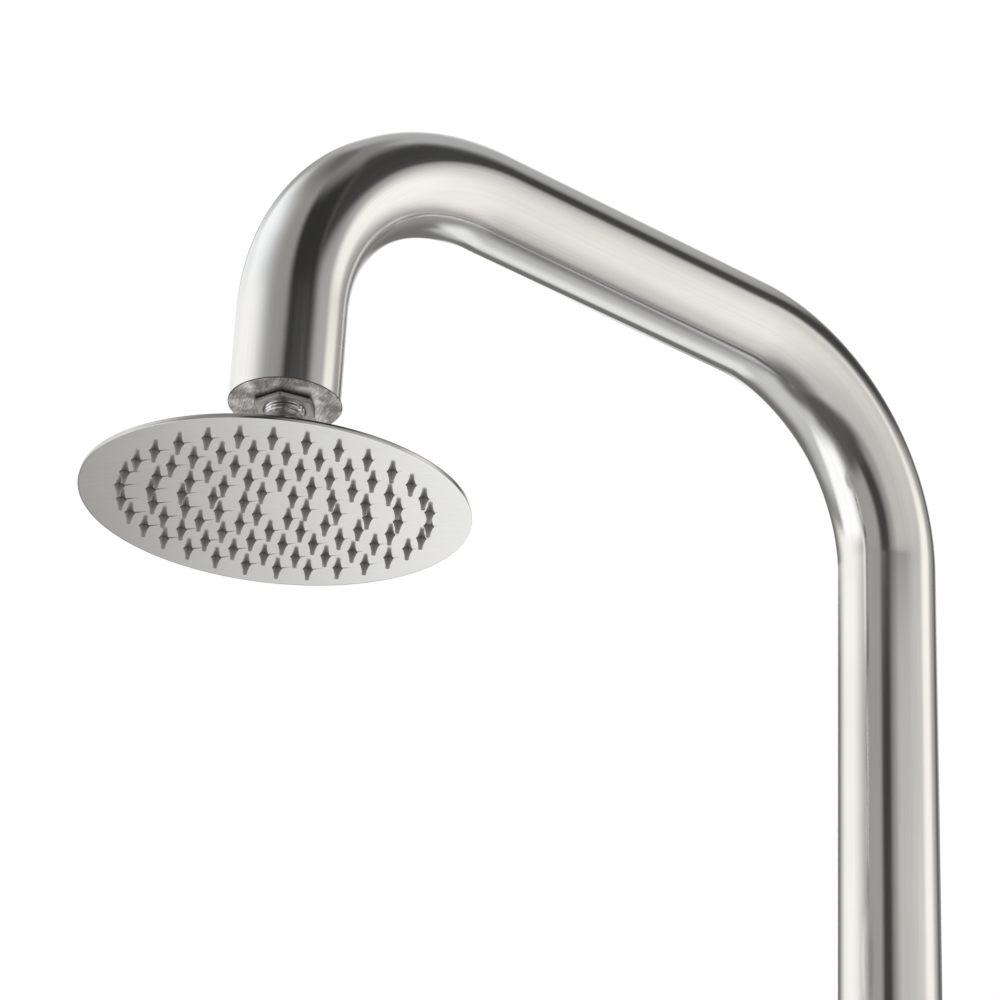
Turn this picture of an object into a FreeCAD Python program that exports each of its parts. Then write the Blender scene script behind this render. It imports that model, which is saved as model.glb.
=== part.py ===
"""Outdoor shower post: a bent stainless steel post with a mixer, a ball joint and a thin shower head.

Millimetres and degrees. The origin is on the ground under the post's axis, +Z is up, and the arm
reaches towards -Y. Every size below is a cell of the sheet, and every shape is bound to those cells.
"""

import FreeCAD, Part
import os
import re

import Sketcher
from FreeCAD import Placement, Rotation, Vector

SIZES = {
    # bent post tube
    "tube_outer": 60, "tube_wall": 1.5, "bend_radius": 124,
    "arm_height": 2250, "reach": 446, "mouth_drop": 179,
    # play between pieces: pushed or screwed together, sliding on each other, passing freely
    "seat_gap": 0.03, "slide_gap": 0.05, "spindle_gap": 0.15, "free_gap": 0.25,
    # foot
    "plate_diameter": 220, "plate_thickness": 10, "plate_bevel": 1.5,
    "anchor_circle": 170, "anchor_hole": 13, "anchor_turn": 45,
    "spigot_length": 70, "spigot_wall": 4, "spigot_bevel": 2,
    "foot_screw_height": 55, "foot_screw_thread": 6, "foot_screw_head": 11, "foot_screw_cap": 2.6,
    "foot_screw_tip": 1,
    "rose_diameter": 112, "rose_height": 13, "rose_edge": 2.5, "rose_neck": 5, "rose_wall": 1.5,
    # water inlets, one on each side of the post
    "inlet_height": 150, "inlet_leg": 12, "inlet_thread": 20.955, "inlet_thread_length": 15,
    "inlet_shank": 22, "shank_show": 1, "inlet_bore": 15, "elbow_leg": 16, "elbow_top": 16,
    "elbow_bottom": 12, "collar_diameter": 28, "collar_inside": 21, "collar_thickness": 3,
    "saddle_diameter": 33, "saddle_thickness": 2.5, "locknut_flats": 30, "locknut_thickness": 6,
    # hoses inside the post and their fittings
    "supply_hose": 12, "supply_bore": 8, "riser_outer": 16, "riser_bore": 12,
    "tail_length": 18, "tail_wall": 1, "ferrule_wall": 0.8, "ferrule_length": 15,
    "fitting_flats": 16, "riser_fitting_flats": 19, "fitting_hexagon": 6,
    "fitting_thread": 11, "fitting_thread_length": 8,
    # mixer body and what clamps it in the post
    "valve_height": 1100, "barrel_diameter": 48, "barrel_length": 76,
    "port_bore": 7, "port_end": 3.2, "channel_bore": 5, "channel_offset": 7, "outlet_rise": 6,
    "bushing_outer": 32, "bushing_reach": 44, "bushing_mouth": 28, "bushing_mouth_depth": 8,
    "trim_diameter": 48, "trim_reach": 35, "trim_bevel": 1.5,
    "clamp_nut_outer": 38, "clamp_nut_thickness": 5,
    # cartridge
    "cartridge_diameter": 25, "cartridge_floor": 12, "cartridge_seal": 0.7, "cartridge_base": 2,
    "cartridge_wall": 1.5, "cartridge_lid": 2, "neck_outer": 17, "neck_bore": 14, "neck_length": 9.5,
    "disc_thickness": 4, "moving_disc_diameter": 14.8, "disc_recess": 1.5, "disc_recess_diameter": 10,
    "retainer_thickness": 7.5,
    # spindle and ball dome
    "pivot_reach": 40, "spindle_width": 6, "spindle_reach": 70, "spindle_tip": 5.2, "tip_depth": 7,
    "tip_neck": 4, "pin_diameter": 3,
    "dome_diameter": 42, "dome_wall": 1.5, "dome_skirt": 4, "dome_slot_low": 4.2, "dome_slot_high": 12.6,
    "carrier_flange": 2, "carrier_flange_reach": 46.5,
    # handle
    "hub_diameter": 34, "hub_reach": 72, "hub_bevel": 2, "hub_clearance": 0.8, "handle_reach": 66,
    "rod_diameter": 8, "rod_end_diameter": 10, "rod_depth": 10, "rod_length": 86, "rod_bevel": 1.5,
    "grub_thread": 5, "grub_length": 7, "grub_socket": 2.5, "grub_socket_depth": 3,
    "plug_diameter": 6, "plug_length": 5, "plug_proud": 0.2,
    # plug, hexagon bush and thread over the head
    "end_plug_thickness": 8, "bush_diameter": 26, "bush_flats": 30, "bush_hexagon": 2.6, "bush_turn": 15,
    "bush_thread_depth": 14, "bush_shoulder": 3, "gasket_thickness": 0.8, "gasket_inset": 0.9,
    "arm_thread": 20.955, "thread_pitch": 1.814, "thread_depth": 0.95,
    # ball joint
    "ball_depth": 30, "ball_diameter": 17, "thread_show": 7, "thread_insert": 8,
    "neck_diameter": 20, "swivel_diameter": 28, "swivel_cone": 8, "swivel_bore": 10, "seat_bore": 21,
    "seat_top": 11.5, "swivel_rim": 1, "nut_diameter": 32, "nut_thread": 25, "nut_top": 9,
    "nut_bottom": 5.2, "nut_bevel": 1.2, "flute_diameter": 4, "flute_sink": 1.2,
    "strainer_diameter": 16, "strainer_thickness": 1.5, "strainer_hole": 1.6,
    "stem_diameter": 9.6, "stem_bore": 6, "stem_flange": 18, "stem_flange_top": 12,
    "stem_flange_thickness": 4, "stem_thread": 13.157, "stem_seal": 0.8,
    # head
    "head_diameter": 203, "head_thickness": 2.4, "head_drop": 58.5, "head_lean": 2.6, "sheet": 0.6,
    "boss_diameter": 26, "boss_foot": 34, "boss_foot_height": 2, "boss_bevel": 1,
    "boss_bore": 12,
    "nozzle_pitch": 16, "nozzle_turn": -0.9, "nozzle_root": 5, "nozzle_cone": 4.4, "nozzle_taper": 13,
    "nozzle_tip": 2.4, "nozzle_length": 6, "nozzle_bore": 1, "mat_thickness": 0.5, "mat_edge": 5,
}
RINGS = 5
SECTORS = 6
ANCHORS = 4
FOOT_SCREWS = 3
FLUTES = 16

# lengths and places worked out from the sizes, as formulas
TUBE_RADIUS = "(tube_outer / 2)"
TUBE_BORE = "(tube_outer / 2 - tube_wall)"
MOUTH = "(arm_height - mouth_drop)"
BALL = f"({MOUTH} - ball_depth)"
BALL_TO_FACE = "(head_drop - ball_depth)"
SADDLE_FACE = f"({TUBE_RADIUS} + saddle_thickness)"
SHANK_END = f"({SADDLE_FACE} + locknut_thickness + shank_show)"
INLET_END = f"({SHANK_END} + inlet_thread_length)"
BARREL_END = "(barrel_length / 2)"
DISC_SEAT = "(cartridge_floor + cartridge_seal + cartridge_base)"
DISC_PLANE = f"({DISC_SEAT} + disc_thickness + slide_gap)"
HOUSING_TOP = "(bushing_reach - bushing_mouth_depth)"
CARRIAGE_TOP = f"({HOUSING_TOP} - cartridge_lid - free_gap)"
DOME_BORE = "(dome_diameter / 2 - dome_wall)"
TAIL_TOP = "(elbow_top + tail_length)"
BUSH_TOP = "(bush_thread_depth - bush_hexagon - gasket_thickness + bush_shoulder)"
STEM_END = "(head_drop - ball_depth - head_thickness - slide_gap)"

ALONG = {
    "up": Rotation(),
    "down": Rotation(Vector(1, 0, 0), 180),
    "front": Rotation(Vector(1, 0, 0), 90),
    "back": Rotation(Vector(1, 0, 0), -90),
    "right": Rotation(Vector(0, 1, 0), 90),
    "left": Rotation(Vector(0, 1, 0), -90),
}
ORIGIN = ("0", "0", "0")
doc = FreeCAD.newDocument("shower_post")


def make_sheet():
    """The driving dimensions, one named cell each."""
    sheet = doc.addObject("Spreadsheet::Sheet", "Sizes")
    for row, (name, number) in enumerate(SIZES.items(), start=1):
        sheet.set(f"A{row}", name)
        sheet.set(f"B{row}", str(number))
        sheet.setAlias(f"B{row}", name)
    doc.recompute()
    return sheet


sizes = make_sheet()


def bound(formula):
    """The formula with each size's name written as its cell."""
    return re.sub(r"[a-z_]+", lambda word: f"Sizes.{word[0]}" if word[0] in SIZES else word[0], formula)


def number(formula):
    """What the formula gives with the sheet as it is."""
    return float(sizes.evalExpression(bound(formula)))


def move(thing, at, prefix="Placement"):
    """Bind a thing's place to three formulas."""
    for axis, formula in zip("xyz", at):
        if formula != "0":
            thing.setExpression(f"{prefix}.Base.{axis}", bound(formula))


def sub_part(label, at=ORIGIN, turn="up", solids=1):
    """An empty body, placed and turned in the post's frame."""
    body = doc.addObject("PartDesign::Body", label)
    body.Label = label
    body.AllowCompound = solids > 1
    body.Placement = Placement(Vector(), ALONG[turn])
    move(body, at)
    return body


def datum(body, role):
    """One of the body's own origin planes or axes."""
    return next(feature for feature in body.Origin.OriginFeatures if feature.Role == role)


def primitive(body, kind, at, along, cut, **lengths):
    """A solid primitive that is added to the body or cut from it."""
    solid = body.newObject(f"PartDesign::{'Subtractive' if cut else 'Additive'}{kind}", kind)
    solid.Placement = Placement(Vector(), ALONG[along])
    move(solid, at)
    for name, formula in lengths.items():
        solid.setExpression(name, bound(formula))
    return solid


def cylinder(body, diameter, length, at=ORIGIN, along="up", cut=False):
    """A round bar, or a round hole, that starts at a point and runs along a direction."""
    return primitive(body, "Cylinder", at, along, cut, Radius=f"({diameter}) / 2", Height=length)


def ball(body, diameter, at=ORIGIN, cut=False):
    """A ball, or a hollow of a ball's shape."""
    return primitive(body, "Sphere", at, "up", cut, Radius=f"({diameter}) / 2")


def block(body, corner, spans, cut=False):
    """A box from its lowest corner."""
    return primitive(body, "Box", corner, "up", cut, Length=spans[0], Width=spans[1], Height=spans[2])


def pin_point(sketch, line, at):
    """Bind a line's first point to two formulas, on an axis where one is nought."""
    for kind, axis, formula in (("DistanceX", -2, at[0]), ("DistanceY", -1, at[1])):
        reach = number(formula)
        if abs(reach) < 1e-9:
            sketch.addConstraint(Sketcher.Constraint("PointOnObject", line, 1, axis))
        else:
            rule = sketch.addConstraint(Sketcher.Constraint(kind, -1, 1, line, 1, reach))
            sketch.setExpression(f"Constraints[{rule}]", bound(formula))


def new_sketch(body, plane):
    """A sketch on one of the body's own planes."""
    sketch = body.newObject("Sketcher::SketchObject", "Outline")
    sketch.AttachmentSupport = (datum(body, plane), [""])
    sketch.MapMode = "FlatFace"
    return sketch


def outline(body, plane, points):
    """A closed outline of straight lines through points given as formulas."""
    sketch = new_sketch(body, plane)
    here = [Vector(number(x), number(y), 0) for x, y in points]
    for start, end in zip(here, here[1:] + here[:1]):
        sketch.addGeometry(Part.LineSegment(start, end), False)
    for line in range(len(points)):
        sketch.addConstraint(Sketcher.Constraint("Coincident", line, 2, (line + 1) % len(points), 1))
    for line, point in enumerate(points):
        pin_point(sketch, line, point)
    return sketch


def turned(body, points, cut=False):
    """A turned shape: an outline of radius and height, spun about the body's Z axis."""
    kind = "Groove" if cut else "Revolution"
    spin = body.newObject(f"PartDesign::{kind}", kind)
    spin.Profile = outline(body, "XZ_Plane", points)
    spin.ReferenceAxis = (spin.Profile[0], ["V_Axis"])
    spin.Angle = 360
    return spin


def washer(body, inner, outer, low, high):
    """A turned ring between two diameters and two heights."""
    rim, bore = f"({outer}) / 2", f"({inner}) / 2"
    return turned(body, [(bore, low), (rim, low), (rim, high), (bore, high)])


def hexagon(body, flats, low, thickness, turn="0"):
    """A hexagonal slab between its flats, from one height up."""
    corners = []
    for corner in range(6):
        ray = f"({flats}) / 2 / cos(30)"
        heading = f"({turn} + {60 * corner})"
        corners.append((f"{ray} * cos{heading}", f"{ray} * sin{heading}"))
    slab = body.newObject("PartDesign::Pad", "Hexagon")
    slab.Profile = outline(body, "XY_Plane", corners)
    if low != "0":
        slab.Profile[0].setExpression("AttachmentOffset.Base.z", bound(low))
    slab.setExpression("Length", bound(thickness))
    return slab


def polar(body, features, count):
    """Features repeated evenly round the body's Z axis."""
    pattern = body.newObject("PartDesign::PolarPattern", "Round")
    pattern.Originals = features
    pattern.Axis = (datum(body, "Z_Axis"), [""])
    pattern.Angle = 360
    pattern.Occurrences = count
    body.Tip = pattern
    return pattern


# ---------------------------------------------------------------- bent post tube and its plug

def gooseneck(body, low, end_height):
    """The centre line: up the post, along the arm and down to an end at a height, in one sketch."""
    route = new_sketch(body, "YZ_Plane")
    radius, arm, reach = number("bend_radius"), number("arm_height"), number("reach")
    bottom, last, bends = number(low), number(end_height), arm - radius
    near, far = Vector(-radius, bends, 0), Vector(radius - reach, bends, 0)
    quarter = FreeCAD.Units.Quantity("90 deg").getValueAs("rad").Value
    normal = Vector(0, 0, 1)
    route.addGeometry([
        Part.LineSegment(Vector(0, bottom, 0), Vector(0, bends, 0)),
        Part.ArcOfCircle(Part.Circle(near, normal, radius), 0, quarter),
        Part.LineSegment(Vector(-radius, arm, 0), Vector(radius - reach, arm, 0)),
        Part.ArcOfCircle(Part.Circle(far, normal, radius), quarter, 2 * quarter),
        Part.LineSegment(Vector(-reach, bends, 0), Vector(-reach, last, 0)),
    ], False)
    post, near_bend, top, far_bend, drop = range(5)
    route.addConstraint([
        Sketcher.Constraint("PointOnObject", post, 1, -2),
        Sketcher.Constraint("Vertical", post),
        Sketcher.Constraint("Tangent", post, 2, near_bend, 1),
        Sketcher.Constraint("Tangent", near_bend, 2, top, 1),
        Sketcher.Constraint("Horizontal", top),
        Sketcher.Constraint("Tangent", top, 2, far_bend, 1),
        Sketcher.Constraint("Tangent", far_bend, 2, drop, 1),
        Sketcher.Constraint("Equal", near_bend, far_bend),
    ])
    for name, element, point, kind, formula in (
        ("foot", post, 1, "DistanceY", low),
        ("arm", top, 1, "DistanceY", "arm_height"),
        ("overhang", drop, 2, "DistanceX", "-reach"),
        ("end", drop, 2, "DistanceY", end_height),
    ):
        rule = route.addConstraint(Sketcher.Constraint(kind, -1, 1, element, point, number(formula)))
        route.renameConstraint(rule, name)
        route.setExpression(f"Constraints.{name}", bound(formula))
    rule = route.addConstraint(Sketcher.Constraint("Radius", near_bend, radius))
    route.setExpression(f"Constraints[{rule}]", bound("bend_radius"))
    return route


def swept_tube(body, outer, bore, low, end_height):
    """A tube bent along the gooseneck."""
    section = new_sketch(body, "XY_Plane")
    section.setExpression("AttachmentOffset.Base.z", bound(low))
    for circle, diameter in enumerate((outer, bore)):
        section.addGeometry(Part.Circle(Vector(), Vector(0, 0, 1), number(diameter) / 2), False)
        section.addConstraint(Sketcher.Constraint("Coincident", circle, 3, -1, 1))
        rule = section.addConstraint(Sketcher.Constraint("Diameter", circle, number(diameter)))
        section.setExpression(f"Constraints[{rule}]", bound(diameter))
    tube = body.newObject("PartDesign::AdditivePipe", "Tube")
    tube.Profile = section
    tube.Spine = (gooseneck(body, low, end_height), [])
    return tube


def post_tube():
    """The bent tube, holed for the mixer, the inlets and the foot screws."""
    body = sub_part("post_tube")
    swept_tube(body, "tube_outer", "tube_outer - 2 * tube_wall", "plate_thickness", MOUTH)
    cylinder(body, "bushing_outer + 2 * free_gap", "tube_outer", ("0", "0", "valve_height"), "front",
             cut=True)
    cylinder(body, "inlet_shank + 2 * free_gap", "2 * tube_outer", ("-tube_outer", "0", "inlet_height"),
             "right", cut=True)
    hole = cylinder(body, "foot_screw_thread + 2 * free_gap", "tube_outer",
                    ("0", "0", "plate_thickness + foot_screw_height"), "back", cut=True)
    polar(body, [hole], FOOT_SCREWS)
    return body


def end_plug():
    """The plug welded into the mouth, its face flush with the tube's end."""
    body = sub_part("end_plug", ("0", "-reach", MOUTH))
    washer(body, "bush_diameter + 2 * seat_gap", f"2 * ({TUBE_BORE} - seat_gap)", "0", "end_plug_thickness")
    return body


# ---------------------------------------------------------------- foot

def floor_plate():
    """The round plate that is bolted down."""
    body = sub_part("floor_plate")
    rim = "(plate_diameter / 2)"
    turned(body, [("0", "0"), (rim, "0"), (rim, "plate_thickness - plate_bevel"),
                  (f"{rim} - plate_bevel", "plate_thickness"), ("0", "plate_thickness")])
    first = ("anchor_circle / 2 * cos(anchor_turn)", "anchor_circle / 2 * sin(anchor_turn)",
             "-plate_thickness / 2")
    hole = cylinder(body, "anchor_hole", "2 * plate_thickness", first, cut=True)
    polar(body, [hole], ANCHORS)
    return body


def foot_spigot():
    """The sleeve welded on the plate, over which the post is pushed."""
    body = sub_part("foot_spigot", ("0", "0", "plate_thickness"))
    rim = f"({TUBE_BORE} - slide_gap)"
    bore = f"({rim} - spigot_wall)"
    turned(body, [(bore, "0"), (rim, "0"), (rim, "spigot_length - spigot_bevel"),
                  (f"{rim} - spigot_bevel", "spigot_length"), (bore, "spigot_length")])
    hole = cylinder(body, "foot_screw_thread + 2 * seat_gap", "tube_outer", ("0", "0", "foot_screw_height"),
                    "back", cut=True)
    polar(body, [hole], FOOT_SCREWS)
    return body


def foot_screws():
    """Three screws with low heads that hold the post on the spigot."""
    body = sub_part("foot_screws", ("0", "0", "plate_thickness + foot_screw_height"), solids=FOOT_SCREWS)
    tip = f"({TUBE_BORE} - spigot_wall - foot_screw_tip)"
    reach = f"{TUBE_RADIUS} + foot_screw_cap - {tip}"
    floor = f"{TUBE_RADIUS} + foot_screw_cap / 3"
    shank = cylinder(body, "foot_screw_thread", reach, ("0", tip, "0"), "back")
    head = cylinder(body, "foot_screw_head", "foot_screw_cap", ("0", TUBE_RADIUS, "0"), "back")
    socket = cylinder(body, "foot_screw_thread / 2", "foot_screw_cap", ("0", floor, "0"), "back", cut=True)
    polar(body, [shank, head, socket], FOOT_SCREWS)
    return body


def foot_rose():
    """The cover ring round the post's foot."""
    body = sub_part("foot_rose", ("0", "0", "plate_thickness"))
    rim, bore = "(rose_diameter / 2)", f"({TUBE_RADIUS} + free_gap)"
    turned(body, [
        (rim, "0"), (rim, "rose_edge"), (f"{bore} + rose_neck", "rose_height"), (bore, "rose_height"),
        (bore, "rose_height - rose_wall"), (f"{bore} + rose_neck - rose_wall", "rose_height - rose_wall"),
        (f"{rim} - rose_wall", "rose_edge - rose_wall"), (f"{rim} - rose_wall", "0"),
    ])
    return body


# ---------------------------------------------------------------- water inlets and hoses

def elbow(label, side):
    """An inlet elbow: a threaded snout through the post's wall and a leg with a hose tail inside."""
    body = sub_part(label, (f"{side} * inlet_leg", "0", "inlet_height"), "up")
    heading = "right" if side == "1" else "left"
    cylinder(body, "elbow_leg", "elbow_bottom + elbow_top", ("0", "0", "-elbow_bottom"))
    cylinder(body, "supply_bore - 2 * seat_gap", "tail_length", ("0", "0", "elbow_top"))
    cylinder(body, "inlet_shank", f"{SHANK_END} - inlet_leg", along=heading)
    cylinder(body, "inlet_thread", f"{INLET_END} - inlet_leg", along=heading)
    cylinder(body, "collar_diameter", "collar_thickness",
             (f"{side} * (collar_inside - inlet_leg)", "0", "0"), heading)
    cylinder(body, "supply_bore - 2 * tail_wall", TAIL_TOP, cut=True)
    cylinder(body, "inlet_bore", INLET_END, along=heading, cut=True)
    return body


def inlet_bore(body):
    """Cut the way for both shanks right through a pair of pieces."""
    cylinder(body, "inlet_shank + 2 * seat_gap", "2 * tube_outer", ("-tube_outer", "0", "0"), "right",
             cut=True)


def inlet_gaskets():
    """Rubber rings between the elbows' collars and the inside of the post."""
    body = sub_part("inlet_gaskets", ("0", "0", "inlet_height"), solids=2)
    for side, heading in (("1", "right"), ("-1", "left")):
        cylinder(body, "collar_diameter", f"{TUBE_RADIUS} - collar_inside - collar_thickness",
                 (f"{side} * (collar_inside + collar_thickness)", "0", "0"), heading)
    inlet_bore(body)
    inside = f"({TUBE_BORE} - seat_gap)"
    turned(body, [(inside, "-tube_outer"), ("tube_outer", "-tube_outer"), ("tube_outer", "tube_outer"),
                  (inside, "tube_outer")], cut=True)
    return body


def inlet_saddles():
    """Washers whose inner faces follow the post and whose outer faces are flat."""
    body = sub_part("inlet_saddles", ("0", "0", "inlet_height"), solids=2)
    for side, heading in (("1", "right"), ("-1", "left")):
        cylinder(body, "saddle_diameter", f"{SADDLE_FACE} - tube_outer / 3",
                 (f"{side} * tube_outer / 3", "0", "0"), heading)
    inlet_bore(body)
    cylinder(body, "tube_outer + 2 * seat_gap", "2 * tube_outer", ("0", "0", "-tube_outer"), cut=True)
    return body


def inlet_locknuts():
    """The hexagon nuts that pull the elbows against the post."""
    body = sub_part("inlet_locknuts", ("0", "0", "inlet_height"), "right", solids=2)
    hexagon(body, "locknut_flats", SADDLE_FACE, "locknut_thickness")
    hexagon(body, "locknut_flats", f"-{SADDLE_FACE} - locknut_thickness", "locknut_thickness")
    cylinder(body, "inlet_shank + 2 * seat_gap", "4 * tube_outer", ("0", "0", "-2 * tube_outer"), cut=True)
    return body


SUPPLY_LOW = "(inlet_height + elbow_top)"
SUPPLY_HIGH = f"(valve_height - {BARREL_END} - fitting_hexagon)"
RISER_LOW = f"(valve_height + {BARREL_END} + fitting_hexagon)"
RISER_HIGH = f"({MOUTH} + {BUSH_TOP})"


def supply_hose(label, side):
    """A straight hose from an inlet elbow to the mixer."""
    body = sub_part(label, (f"{side} * inlet_leg", "0", SUPPLY_LOW))
    washer(body, "supply_bore", "supply_hose", "0", f"{SUPPLY_HIGH} - {SUPPLY_LOW}")
    return body


def supply_ferrules():
    """Crimped sleeves on both ends of both supply hoses."""
    body = sub_part("supply_ferrules", solids=4)
    spots = [(f"{side} * inlet_leg", "0", low) for side in ("1", "-1")
             for low in (f"{SUPPLY_LOW} + 1", f"{SUPPLY_HIGH} - 1 - ferrule_length")]
    for spot in spots:
        cylinder(body, "supply_hose + 2 * (seat_gap + ferrule_wall)", "ferrule_length", spot)
    for spot in spots:
        cylinder(body, "supply_hose + 2 * seat_gap", "ferrule_length", spot, cut=True)
    return body


def riser_hose():
    """The hose that carries mixed water up the post and along the arm."""
    body = sub_part("riser_hose")
    swept_tube(body, "riser_outer", "riser_bore", RISER_LOW, RISER_HIGH)
    return body


def riser_ferrules():
    """Crimped sleeves on both ends of the riser hose."""
    body = sub_part("riser_ferrules", solids=2)
    spots = [("0", "0", f"{RISER_LOW} + 1"), ("0", "-reach", f"{RISER_HIGH} + 1")]
    for spot in spots:
        cylinder(body, "riser_outer + 2 * (seat_gap + ferrule_wall)", "ferrule_length", spot)
    for spot in spots:
        cylinder(body, "riser_outer + 2 * seat_gap", "ferrule_length", spot, cut=True)
    return body


def fitting(body, flats, bore):
    """A hexagon fitting with its thread below the hexagon's foot and a hose tail above."""
    hexagon(body, flats, "0", "fitting_hexagon")
    cylinder(body, "fitting_thread", "fitting_thread_length", ("0", "0", "-fitting_thread_length"))
    cylinder(body, f"{bore} - 2 * seat_gap", "tail_length", ("0", "0", "fitting_hexagon"))
    cylinder(body, f"{bore} - 2 * tail_wall", "2 * fitting_hexagon + 2 * tail_length",
             ("0", "0", "-fitting_thread_length"), cut=True)
    return body


def supply_fitting(label, side):
    """The fitting under the mixer that takes a supply hose."""
    body = sub_part(label, (f"{side} * inlet_leg", "0", f"valve_height - {BARREL_END}"), "down")
    return fitting(body, "fitting_flats", "supply_bore")


def riser_fitting():
    """The fitting on top of the mixer that takes the riser hose."""
    body = sub_part("riser_fitting", ("0", "0", f"valve_height + {BARREL_END}"))
    hexagon(body, "riser_fitting_flats", "0", "fitting_hexagon")
    cylinder(body, "fitting_thread", "fitting_thread_length", ("0", "0", "-fitting_thread_length"))
    cylinder(body, "riser_bore - 2 * seat_gap", "tail_length", ("0", "0", "fitting_hexagon"))
    cylinder(body, "supply_bore - 2 * tail_wall", "tube_outer", ("0", "0", "-fitting_thread_length"),
             cut=True)
    return body


# ---------------------------------------------------------------- mixer body and clamping

def mixer_body():
    """The brass barrel inside the post, drilled for hot, cold and mixed water."""
    body = sub_part("mixer_body", ("0", "0", "valve_height"))
    cylinder(body, "barrel_diameter", "barrel_length", ("0", "0", f"-{BARREL_END}"))
    cylinder(body, "bushing_outer + 2 * seat_gap", "tube_outer", ("0", "-cartridge_floor", "0"), "front",
             cut=True)
    for side in ("1", "-1"):
        cylinder(body, "fitting_thread + 2 * seat_gap", "fitting_thread_length",
                 (f"{side} * inlet_leg", "0", f"-{BARREL_END}"), cut=True)
        cylinder(body, "port_bore", f"{BARREL_END} + port_end",
                 (f"{side} * inlet_leg", "0", f"-{BARREL_END}"), cut=True)
        cylinder(body, "channel_bore", "2 * cartridge_floor",
                 (f"{side} * channel_offset", "channel_bore / 2", "0"), "front", cut=True)
    cylinder(body, "fitting_thread + 2 * seat_gap", "fitting_thread_length",
             ("0", "0", f"{BARREL_END} - fitting_thread_length"), cut=True)
    cylinder(body, "port_bore", BARREL_END, ("0", "0", "outlet_rise - port_end"), cut=True)
    cylinder(body, "channel_bore", "2 * cartridge_floor", ("0", "0", "outlet_rise"), "front", cut=True)
    return body


VALVE = ("0", "0", "valve_height")


def valve_bushing():
    """The threaded sleeve screwed into the barrel, which holds the cartridge."""
    body = sub_part("valve_bushing", VALVE, "front")
    rim, bore, mouth = "(bushing_outer / 2)", "(cartridge_diameter / 2 + slide_gap)", "(bushing_mouth / 2)"
    turned(body, [(bore, "cartridge_floor"), (rim, "cartridge_floor"), (rim, "bushing_reach"),
                  (mouth, "bushing_reach"), (mouth, HOUSING_TOP), (bore, HOUSING_TOP)])
    return body


def valve_trim():
    """The boss round the bushing, hollowed to sit on the post."""
    body = sub_part("valve_trim", VALVE, "front")
    rim, bore = "(trim_diameter / 2)", "(bushing_outer / 2 + slide_gap)"
    low = "tube_outer / 4"
    turned(body, [(bore, low), (rim, low), (rim, "trim_reach - trim_bevel"),
                  (f"{rim} - trim_bevel", "trim_reach"), (bore, "trim_reach")])
    cylinder(body, "tube_outer + 2 * seat_gap", "2 * tube_outer", ("0", "-tube_outer", "0"), "back",
             cut=True)
    return body


def clamp_nut():
    """The ring nut that pulls the barrel, the post and the trim together."""
    body = sub_part("clamp_nut", VALVE, "front")
    washer(body, "bushing_outer + 2 * seat_gap", "clamp_nut_outer", "trim_reach",
           "trim_reach + clamp_nut_thickness")
    return body


# ---------------------------------------------------------------- cartridge

def ports(body, low, length):
    """Three round ports: hot, cold and mixed, cut along the valve's axis."""
    for across, up in (("channel_offset", "0"), ("-channel_offset", "0"), ("0", "outlet_rise")):
        cylinder(body, "channel_bore", length, (across, up, low), cut=True)


def cartridge_seals():
    """Three rings between the mixer and the cartridge's base."""
    body = sub_part("cartridge_seals", VALVE, "front", solids=3)
    for across, up in (("channel_offset", "0"), ("-channel_offset", "0"), ("0", "outlet_rise")):
        cylinder(body, "channel_bore + 1.4", "cartridge_seal", (across, up, "cartridge_floor"))
    ports(body, "cartridge_floor", "cartridge_seal")
    return body


def cartridge_base():
    """The cartridge's floor with its three ports."""
    body = sub_part("cartridge_base", VALVE, "front")
    cylinder(body, "cartridge_diameter", "cartridge_base", ("0", "0", "cartridge_floor + cartridge_seal"))
    ports(body, "cartridge_floor", "cartridge_base + 1")
    return body


def cartridge_housing():
    """The cartridge's shell: a cup over the discs and a neck round the spindle."""
    body = sub_part("cartridge_housing", VALVE, "front")
    rim, neck, bore = "(cartridge_diameter / 2)", "(neck_outer / 2)", "(neck_bore / 2)"
    inside = f"({rim} - cartridge_wall)"
    top = f"({HOUSING_TOP} + neck_length)"
    lid = f"({HOUSING_TOP} - cartridge_lid)"
    turned(body, [(inside, DISC_SEAT), (rim, DISC_SEAT), (rim, HOUSING_TOP), (neck, HOUSING_TOP),
                  (neck, top), (bore, top), (bore, lid), (inside, lid)])
    return body


def retaining_nut():
    """The nut that holds the cartridge down."""
    body = sub_part("retaining_nut", VALVE, "front")
    washer(body, "neck_outer + 2 * slide_gap", "bushing_mouth - 2 * seat_gap", HOUSING_TOP,
           f"{HOUSING_TOP} + retainer_thickness")
    return body


def fixed_disc():
    """The lower ceramic disc with the three ports."""
    body = sub_part("fixed_disc", VALVE, "front")
    cylinder(body, "cartridge_diameter - 2 * cartridge_wall - 2 * slide_gap", "disc_thickness",
             ("0", "0", DISC_SEAT))
    ports(body, f"{DISC_SEAT} - 1", "disc_thickness + 2")
    return body


def moving_disc():
    """The upper ceramic disc, recessed below so that it joins the ports it covers."""
    body = sub_part("moving_disc", VALVE, "front")
    cylinder(body, "moving_disc_diameter", "disc_thickness", ("0", "0", DISC_PLANE))
    cylinder(body, "disc_recess_diameter", "disc_recess", ("0", "0", DISC_PLANE), cut=True)
    return body


def disc_carriage():
    """The slide that the spindle's tip pushes, on top of the moving disc."""
    body = sub_part("disc_carriage", VALVE, "front")
    low = f"({DISC_PLANE} + disc_thickness)"
    cylinder(body, "moving_disc_diameter", f"{CARRIAGE_TOP} - {low}", ("0", "0", low))
    side = "(spindle_tip + 2 * slide_gap)"
    floor = "(pivot_reach - tip_depth - spindle_tip / 2 - free_gap)"
    block(body, (f"-{side} / 2", f"-{side} / 2", floor), (side, side, "2 * spindle_tip"), cut=True)
    return body


# ---------------------------------------------------------------- spindle, dome and handle

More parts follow.
